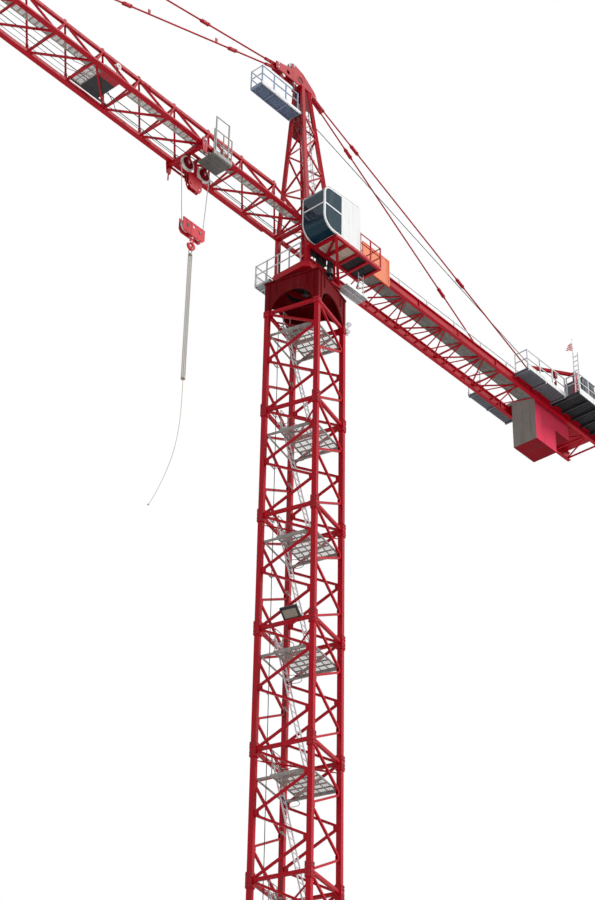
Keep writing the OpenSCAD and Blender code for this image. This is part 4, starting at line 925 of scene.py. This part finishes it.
# ---- panels under the cab
# Cream floor panels lie between the red cross-bars under the cab, and a dark ribbed soffit
# closes the part behind it.
cream = finish("cream_floor_panel", (206, 190, 168), 0.55, (140, 120, 100), 0.35, 0.3)
for (x0, x1), y in product(((-0.41, -0.105), (-0.035, 0.265)), spread(0.64, 0.994, 4)):
    box((x0, y - 0.055, 16.7435), (x1, y + 0.055, 16.7535))
    plank((x0 + 0.01, y, 16.741), (x1 - 0.01, y, 16.741), 0.02, 0.006)
piece("cab_floor_panels", cream)
for x0, x1 in ((-1.09, -0.835), (-0.77, -0.48)):
    bars(0, spread(x0, x1, 25)[1::2], 0.006, (0.535, 16.722), (1.058, 16.7425))
for x0, x1 in ((-1.088, -0.838), (-0.768, -0.482)):
    bars(1, (0.56, 0.8, 1.03), 0.004, (x0, 16.714), (x1, 16.7425))
piece("cab_soffit_ribs", black)
for x in (-1.1, -0.9, -0.7, -0.5, -0.3, -0.1, 0.1, 0.28):
    bolt((x, 1.121, 16.72), Y, 0.009)
piece("cab_frame_bolts", zinc)


# ---- back of the orange board
# Two rails and three posts with bolts hold the bare board on the near beam.
for z in (17.24, 17.46):
    slab((-1.72, 0.494, z), 0.45 * X, 0.05, 0.012, Y)
for x in (-2.05, -1.72, -1.39):
    slab((x, 0.494, 17.69), 0.19 * Z, 0.04, 0.01, Y)
    for z in (17.24, 17.46, 17.8):
        bolt((x, 0.5195, z), Y, 0.007)
piece("board_rails", zinc)


# ---- splices of the counter-jib
# Bolted splice plates join each beam's two lengths; narrow stiffeners follow along the webs.
for turn in (-1, 1):
    for face in (-1, 1):
        y = turn * 0.455 + face * 0.011
        slab((-4.75, y, 17.385), 0.2 * X, 0.17, 0.008, Y)
        for x, z in product(spread(-4.9, -4.6, 6), (17.335, 17.385, 17.435)):
            bolt((x, y + face * 0.004, z), face * Y, 0.01)
    slab((-4.75, turn * 0.455, 17.2925), 0.2 * X, 0.06, 0.006)
    for x in spread(-0.8, -9.44, 13):
        if not -9.3 < x < -7.8:
            slab((x, turn * 0.463, 17.385), 0.085 * Z, 0.014, 0.004, Y)
piece("beam_splices", red)


# ---- gratings and toe boards of the counter-jib
# Bearing bars run under each grating, and a light lattice between the beams carries them;
# white toe boards and their clips stand on the edges.
bars(0, spread(-7.68, -0.6, 236), 0.0015, (0.05, 17.335), (0.4, 17.3475))
bars(1, (0.06, 0.22, 0.38), 0.003, (-7.69, 17.328), (-0.58, 17.3475))
piece("walkway_bars", dull_zinc)
for low, high in ((-0.865, -0.505), (0.505, 0.865)):
    bars(0, spread(-8.4, -6.9, 21), 0.0025, (low, 17.462), (high, 17.4765))
piece("side_deck_bars", half_shaded_deck)
bars(0, spread(-10.42, -8.44, 27), 0.0025, (0.505, 17.462), (1.22, 17.4765))
piece("rear_deck_bars", deep_shaded_deck)
for i, x in enumerate(spread(-0.75, -7.4, 20)):
    y = 0.448 if i % 2 else -0.448
    plank((x, -y, 17.306), (x - 0.35, y, 17.306), 0.026, 0.016)
piece("walkway_lattice", red)
for y in (-1, 1):
    for x in spread(-8.4, -6.93, 7):
        plank((x, y * 0.866, 17.48), (x, y * 0.866, 17.585), 0.014, 0.006, Y)
    slab((-7.65, y * 0.868, 17.586), 0.76 * X, 0.006, 0.014, Y)
piece("toe_board_edges", panel_white)


# ---- faces of the ballast
# Lifting loops of bar stand in the tops of the blocks, and form lines cross their end faces.
for x, y in product((-8.065, -8.4725, -8.9725), (-0.22, 0.22)):
    arch = ((-0.05, 0), (-0.05, 0.045), (-0.03, 0.07), (0, 0.08), (0.03, 0.07), (0.05, 0.045), (0.05, 0))
    tube([(x + shift, y, 17.585 + rise) for shift, rise in arch], 0.009)
piece("ballast_lifting_loops", links_steel)
for x, low in ((-7.881, 16.29), (-8.256, 16.29), (-8.696, 16.92)):
    for z in (low, 17.25):
        slab((x, 0, z), 0.33 * Y, 0.012, 0.004, X)
piece("ballast_form_lines", stone)


# ---- doors and fittings of the cabinets
# Each cabinet has two doors with hinges, a swing handle, louvres, a drip roof and cables
# that leave its floor.
cabinets = ((-9.25, -8.75, 18.12, 0.633), (-9.85, -9.31, 17.98, 0.693))
for x0, x1, top, back in cabinets:
    box((x0 - 0.012, 0.635, top), (x1 + 0.012, 1.16, top + 0.012))
    middle, level_z = (x0 + x1) / 2, (17.53 + top) / 2
    for xa, xb in ((x0 + 0.015, middle - 0.004), (middle + 0.004, x1 - 0.015)):
        plank((xa, back + 0.0035, level_z), (xb, back + 0.0035, level_z), top - 17.57, 0.006, Y)
piece("cabinet_doors", cabinet)
for x0, x1, top, back in cabinets:
    middle = (x0 + x1) / 2
    handle = ((0, 17.7), (0.012, 17.71), (0.012, 17.79), (0, 17.8))
    tube([(middle + 0.03, back - d, z) for d, z in handle], 0.005)
    for z in spread(top - 0.12, top - 0.228, 7):
        plank((x0 + 0.06, back, z), (middle - 0.05, back, z - 0.004), 0.01, 0.005, (0, 1, 0.6))
    for z, x in product((17.6, 17.75, top - 0.08), (x0 + 0.008, x1 - 0.008)):
        tube([(x, back, z - 0.02), (x, back, z + 0.02)], 0.006)
piece("cabinet_fittings", black)
for n in range(5):
    x = -9.2 + n * 0.07
    tube(smooth_route([(x, 0.62, 17.515), (x - 0.05, 0.56, 17.512), (x - 0.2, 0.52, 17.512),
                       (-9.42 - 0.02 * n, 0.4, 17.575)]), 0.008)
piece("cabinet_cables", rubber)


# ---- rope and fittings of the hoist
# Wire rope is wound on the drum in one full layer; hubs, bearing bolts and the motor's
# terminal box with its cable complete the hoist.
drum_x, drum_z = -9.88, 17.8
coil((drum_x, -0.262, drum_z), 0.149, 0.025, 21, 28, 0.0105, 6)
piece("wound_rope", wire, "drum")
for turn in (-1, 1):
    for dx, dz in circle(0.17, 8):
        bolt((drum_x + dx, turn * 0.306, drum_z + dz), turn * Y, 0.009)
    cap = [(0, 0.09), (0.006, 0.09), (0.016, 0.06), (0.022, 0.06)]
    prism((drum_x, turn * 0.304, drum_z), turn * Y, cap, 32)
piece("drum_hubs", dark_steel, "drum")
for turn in (-1, 1):
    for dx, dz in circle(0.058, 6):
        bolt((drum_x + dx, turn * 0.361, drum_z + dz), turn * Y, 0.008)
    for x in (-10.04, -9.72):
        bolt((x, turn * 0.34, 17.56), Z, 0.012)
box((-9.56, -0.06, 17.865), (-9.44, 0.06, 17.93))
for x, z in product((-9.6, -9.5, -9.42), (17.62, 17.78)):
    bolt((x, -0.4215, z), -Y, 0.011)
tube(smooth_route([(-9.5, 0.0, 17.93), (-9.5, 0.1, 17.97), (-9.5, 0.25, 17.9), (-9.45, 0.36, 17.7),
                   (-9.42, 0.42, 17.575)]), 0.01)
piece("hoist_parts", black)


# ---- ladder, flag and hoist on the wide deck
# Ladder feet and clamps, a plain striped flag on the pole, and the chain and hook of the
# davit's small hoist with the ribs of its case.
for y in (1.082, 1.212):
    box((-8.56, y - 0.025, 17.5), (-8.5, y + 0.025, 17.508))
    bolt((-8.548, y, 17.508), Z, 0.007)
for z in (18.74, 18.9):
    prism((-8.53, 1.082, z), Z, [(0, 0.014), (0.02, 0.014)], 12)
prism((-8.53, 1.082, 19.16), Z, [(0, 0.006), (0.006, 0.013), (0.014, 0.013), (0.02, 0.004)], 12)
piece("deck_ladder_parts", zinc)
flag_cloth = finish("flag_cloth", (200, 30, 40), 0.8, (90, 84, 80), 0.1, 0.0,
                    drift=0.3, relief=0.3)
tree = flag_cloth.node_tree
base = tree.nodes["Principled BSDF"].inputs["Base Color"]
height = node(tree, "SeparateXYZ", {0: node(tree, "TexCoord")["Object"]})["Z"]
stripe_wide = 0.015
stripe = reckon(tree, "GREATER_THAN", reckon(tree, "PINGPONG", height, 2 * stripe_wide), stripe_wide)
tree.links.new(mix(tree, stripe, linear((232, 230, 226)), base.links[0].from_socket), base)
cols, rows = 26, 14
cloth = []
for i, k in product(range(cols + 1), range(rows + 1)):
    u, v = i / cols, k / rows
    ripple = 0.026 * u * sin(5.5 * u + 1.2 * v) + 0.012 * u * sin(11 * u - 2.0 * v)
    cloth.append((-8.522 + 0.2 * u * (1 - 0.1 * v), 1.082 + ripple - 0.03 * u,
                  18.79 + 0.27 * v * (1 - 0.45 * u) - 0.07 * u * u))
corners = [i * (rows + 1) + k for i, k in product(range(cols), range(rows))]
add(cloth, [(n, n + rows + 1, n + rows + 2, n + 1) for n in corners])
flag_piece = piece("striped_flag", flag_cloth, sharp=80)


def link(centre, long, wide, wire_r, flat_way, steps=12, sides=6):
    """One oval chain link, upright, whose flat side faces flat_way."""
    across, straight = Z.cross(flat_way), (long - wide) / 2
    tube([Vector(centre) + across * c + Z * (s + (straight if s >= 0 else -straight))
          for c, s in circle(wide / 2 - wire_r, steps)], wire_r, sides, closed=True)


davit_x, davit_y = -8.1797, 0.7574
for i in range(14):
    link((davit_x + 0.03, davit_y + 0.045, 17.95 - 0.021 * i), 0.03, 0.016, 0.0028, X if i % 2 else Y, 10)
tube([(davit_x + 0.016 * sin(t), davit_y, 17.72 + 0.02 * cos(t)) for t in spread(0, radians(240), 13)], 0.006)
for x, y in product((-8.7, -8.56), (0.96, 1.12)):
    bolt((x, y, 17.52), Z, 0.009)
piece("davit_chain_and_hook", links_steel)
low, high = (davit_y - 0.044, 17.975), (davit_y + 0.044, 18.115)
bars(0, spread(davit_x - 0.036, davit_x + 0.036, 5), 0.003, low, high)
box((davit_x - 0.03, davit_y - 0.0475, 18.0), (davit_x + 0.03, davit_y - 0.039, 18.09))
piece("davit_hoist_case", panel_white)


# ---- parts of the trolley
# Flanges, caps and bolts on the wheels, keeper plates on the sheaves' axles, discs on the
# sheaves, and wire mesh with bearing bars on the fitter's basket.
for end, turn in product((-1, 1), (-1, 1)):
    x, y, axle_x = hook_x + end * 0.27, turn * 0.518, hook_x + end * 0.236
    cap = [(0, 0.034), (0.008, 0.034), (0.014, 0.026), (0.02, 0.026), (0.024, 0.018)]
    prism((x, y, 17.35), turn * Y, cap, 24)
    for dx, dz in circle(0.055, 4, 0.5):
        bolt((x + dx, y, 17.35 + dz), turn * Y, 0.007)
    for z, shift in product((17.22, 17.26), (-0.03, 0.03)):
        bolt((x + shift, y, z), turn * Y, 0.008)
    bolt((axle_x, turn * 0.053, 17.025), turn * Y, 0.017)
    slab((axle_x, turn * 0.05, 17.06), 0.024 * X, 0.014, 0.005, Y)
piece("trolley_parts", zinc, "trolley")
# The sheaves' discs wear the darker copy of the red, which is painted shade.
for end, body in ((1, "front_sheave"), (-1, "rear_sheave")):
    for turn in (-1, 1):
        spot = (hook_x + end * 0.236, turn * 0.0255, 17.025)
        prism(spot, turn * Y, [(0, 0.135), (0.005, 0.135), (0.007, 0.13)], 40)
    piece(body + "_discs", shaded_red, body)
bars(0, spread(2.975, 3.505, 30), 0.002, (0.115, 17.112), (0.545, 17.1265))
bars(1, (0.12, 0.33, 0.54), 0.003, (2.972, 17.106), (3.508, 17.1265))
wire_mesh(0.548, spread(3.0, 3.5, 22), (17.23, 17.31, 17.39, 17.46), 2.985, 3.505, 0.002, 0.0022)
piece("basket_mesh", dull_zinc, "trolley")


# ---- parts of the hook block and hook
# Pin heads with keeper plates, edge bolts, a swivel collar with a grease nipple, and the
# hook's spring latch with its pivot.
for turn in (-1, 1):
    for x in (hook_x - 0.17, hook_x + 0.17):
        prism((x, turn * 0.063, block_z), turn * Y, [(0, 0.026), (0.009, 0.026), (0.012, 0.022)], 20)
        slab((x, turn * 0.066, block_z + 0.03), 0.045 * X, 0.016, 0.006, Y)
        for shift in (-0.032, 0.032):
            bolt((x + shift, turn * 0.069, block_z + 0.03), turn * Y, 0.005)
    for x, z in product((-0.285, -0.2, -0.1, 0.1, 0.2, 0.285), (15.53, 15.255)):
        if abs(x) < 0.27 or z > block_z:
            bolt((hook_x + x, turn * 0.063, z), turn * Y, 0.009)
piece("hook_block_parts", dark_steel, "hook_block")
prism((3.462, -0.03, 15.11), Y, [(0, 0.012), (0.06, 0.012)], 16)
plank((3.462, 0, 15.11), (3.54, 0, 15.045), 0.03, 0.005, (0.6, 0, 0.8))
for turn in (-1, 1):
    plank((3.462, turn * 0.018, 15.108), (3.535, turn * 0.016, 15.05), 0.014, 0.004, Y)
prism((hook_x, 0, 15.185), Z, [(0, 0.03), (0.004, 0.041), (0.03, 0.041), (0.034, 0.034)], 32)
prism((3.49, 0, 15.2), X, [(0, 0.005), (0.008, 0.005), (0.01, 0.003), (0.014, 0.004)], 10)
piece("hook_latch", zinc, "hook")


# ---- chains under the hook
# A master link over the hook and a collar carry four legs of welded chain, each link turned
# against the next, down to a gathering ring.
top_x, top_z, legs_z, step = 3.456, 14.8955, 14.77, 0.05
link((top_x, 0, top_z), 0.191, 0.101, 0.0085, X, 28, 8)
prism((top_x, 0, legs_z), Z, [(0, 0.03), (0.006, 0.041), (0.03, 0.041), (0.042, 0.028)], 32)
for dx, dy, i in product((-0.022, 0.022), (-0.022, 0.022), range(60)):
    spot = (top_x + dx, dy, legs_z - step * (i + 0.5))
    link(spot, step + 0.0185, 0.033, 0.0048, X if i % 2 else Y)
prism((top_x, 0, 11.745), Z, [(0, 0.034), (0.005, 0.045), (0.022, 0.045), (0.028, 0.036)], 32)
for c, s in circle(1, 4, 0.5):
    tube([(top_x + 0.044 * c, 0.044 * s, 11.758), (top_x + 0.03 * c, 0.03 * s, 11.79)], 0.006)
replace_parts(piece("chain_legs", links_steel, "hook"), "sling_chains")


# ---- bracket with pulleys on the tower
# A short bracket at the top of one leg carries two guide pulleys for the supply cable.
leg_at, outward = turned(-half, half, 15.1), turned(-0.7071, 0.7071, 0)
cross = outward.cross(Z)
plank(leg_at + outward * 0.06, leg_at + outward * 0.16 + 0.28 * Z, 0.045, 0.012, cross)
plank(leg_at + outward * 0.06 - 0.05 * Z, leg_at + outward * 0.13 - 0.04 * Z, 0.045, 0.012, cross)
for shift, rise in ((0.15, 0.25), (0.12, 0.06)):
    hub_at = leg_at + outward * shift + rise * Z - cross * 0.026
    rim = [(0, 0.056), (0.004, 0.06), (0.009, 0.046), (0.015, 0.046), (0.02, 0.06), (0.024, 0.056)]
    prism(hub_at, cross, rim, 28)
piece("guide_pulleys", zinc, "tower")


# ---- steps up to the cab's platform
# A small grated landing stands out from the turntable, and a short bright ladder climbs from
# it to the platform behind the cab. Black control cabinets stand inside the foot of the head;
# their black is partly painted shade of the dim space under the cab.
bars(1, (0.46, 0.6, 0.735), 0.006, (-1.14, 16.085), (-0.47, 16.115))
bars(0, spread(-1.135, -0.475, 45), 0.0015, (0.455, 16.1), (0.74, 16.114))
bars(0, (-1.14, -0.81), 0.006, (0.455, 16.085), (0.74, 16.13))
box((-1.146, 0.738, 16.085), (-0.55, 0.744, 16.15))
piece("cab_landing", zinc)
for x in (-0.92, -1.08):
    tube([(x, 0.68, 16.1), (x, 0.68, 16.72)], 0.013)
for z in spread(16.2, 16.62, 4):
    tube([(-1.08, 0.68, z), (-0.92, 0.68, z)], 0.009)
piece("cab_steps", ladder_zinc)
# The cabinets' black is partly painted shade of the dim space under the cab.
for x0, x1, z0, z1 in ((-0.24, 0.02, 16.62, 17.1), (0.04, 0.3, 16.7, 17.05)):
    box((x0, 0.28, z0), (x1, 0.36, z1))
    box((x0 + 0.015, 0.36, z0 + 0.015), (x1 - 0.015, 0.366, z1 - 0.015))
    for z in spread(z1 - 0.06, z1 - 0.16, 6):
        box((x0 + 0.03, 0.366, z), (x1 - 0.03, 0.37, z + 0.01))
    tube(smooth_route([(x0 + 0.1, 0.32, z0), (x0 + 0.1, 0.32, z0 - 0.12), (x0 + 0.02, 0.25, z0 - 0.25),
                       (x0, 0.2, 16.256)]), 0.01)
piece("head_control_cabinets", black)
for z in (16.78, 17.0):
    slab((0.04, 0.376, z), 0.39 * X, 0.035, 0.01, Y)
piece("head_cabinet_rails", red)
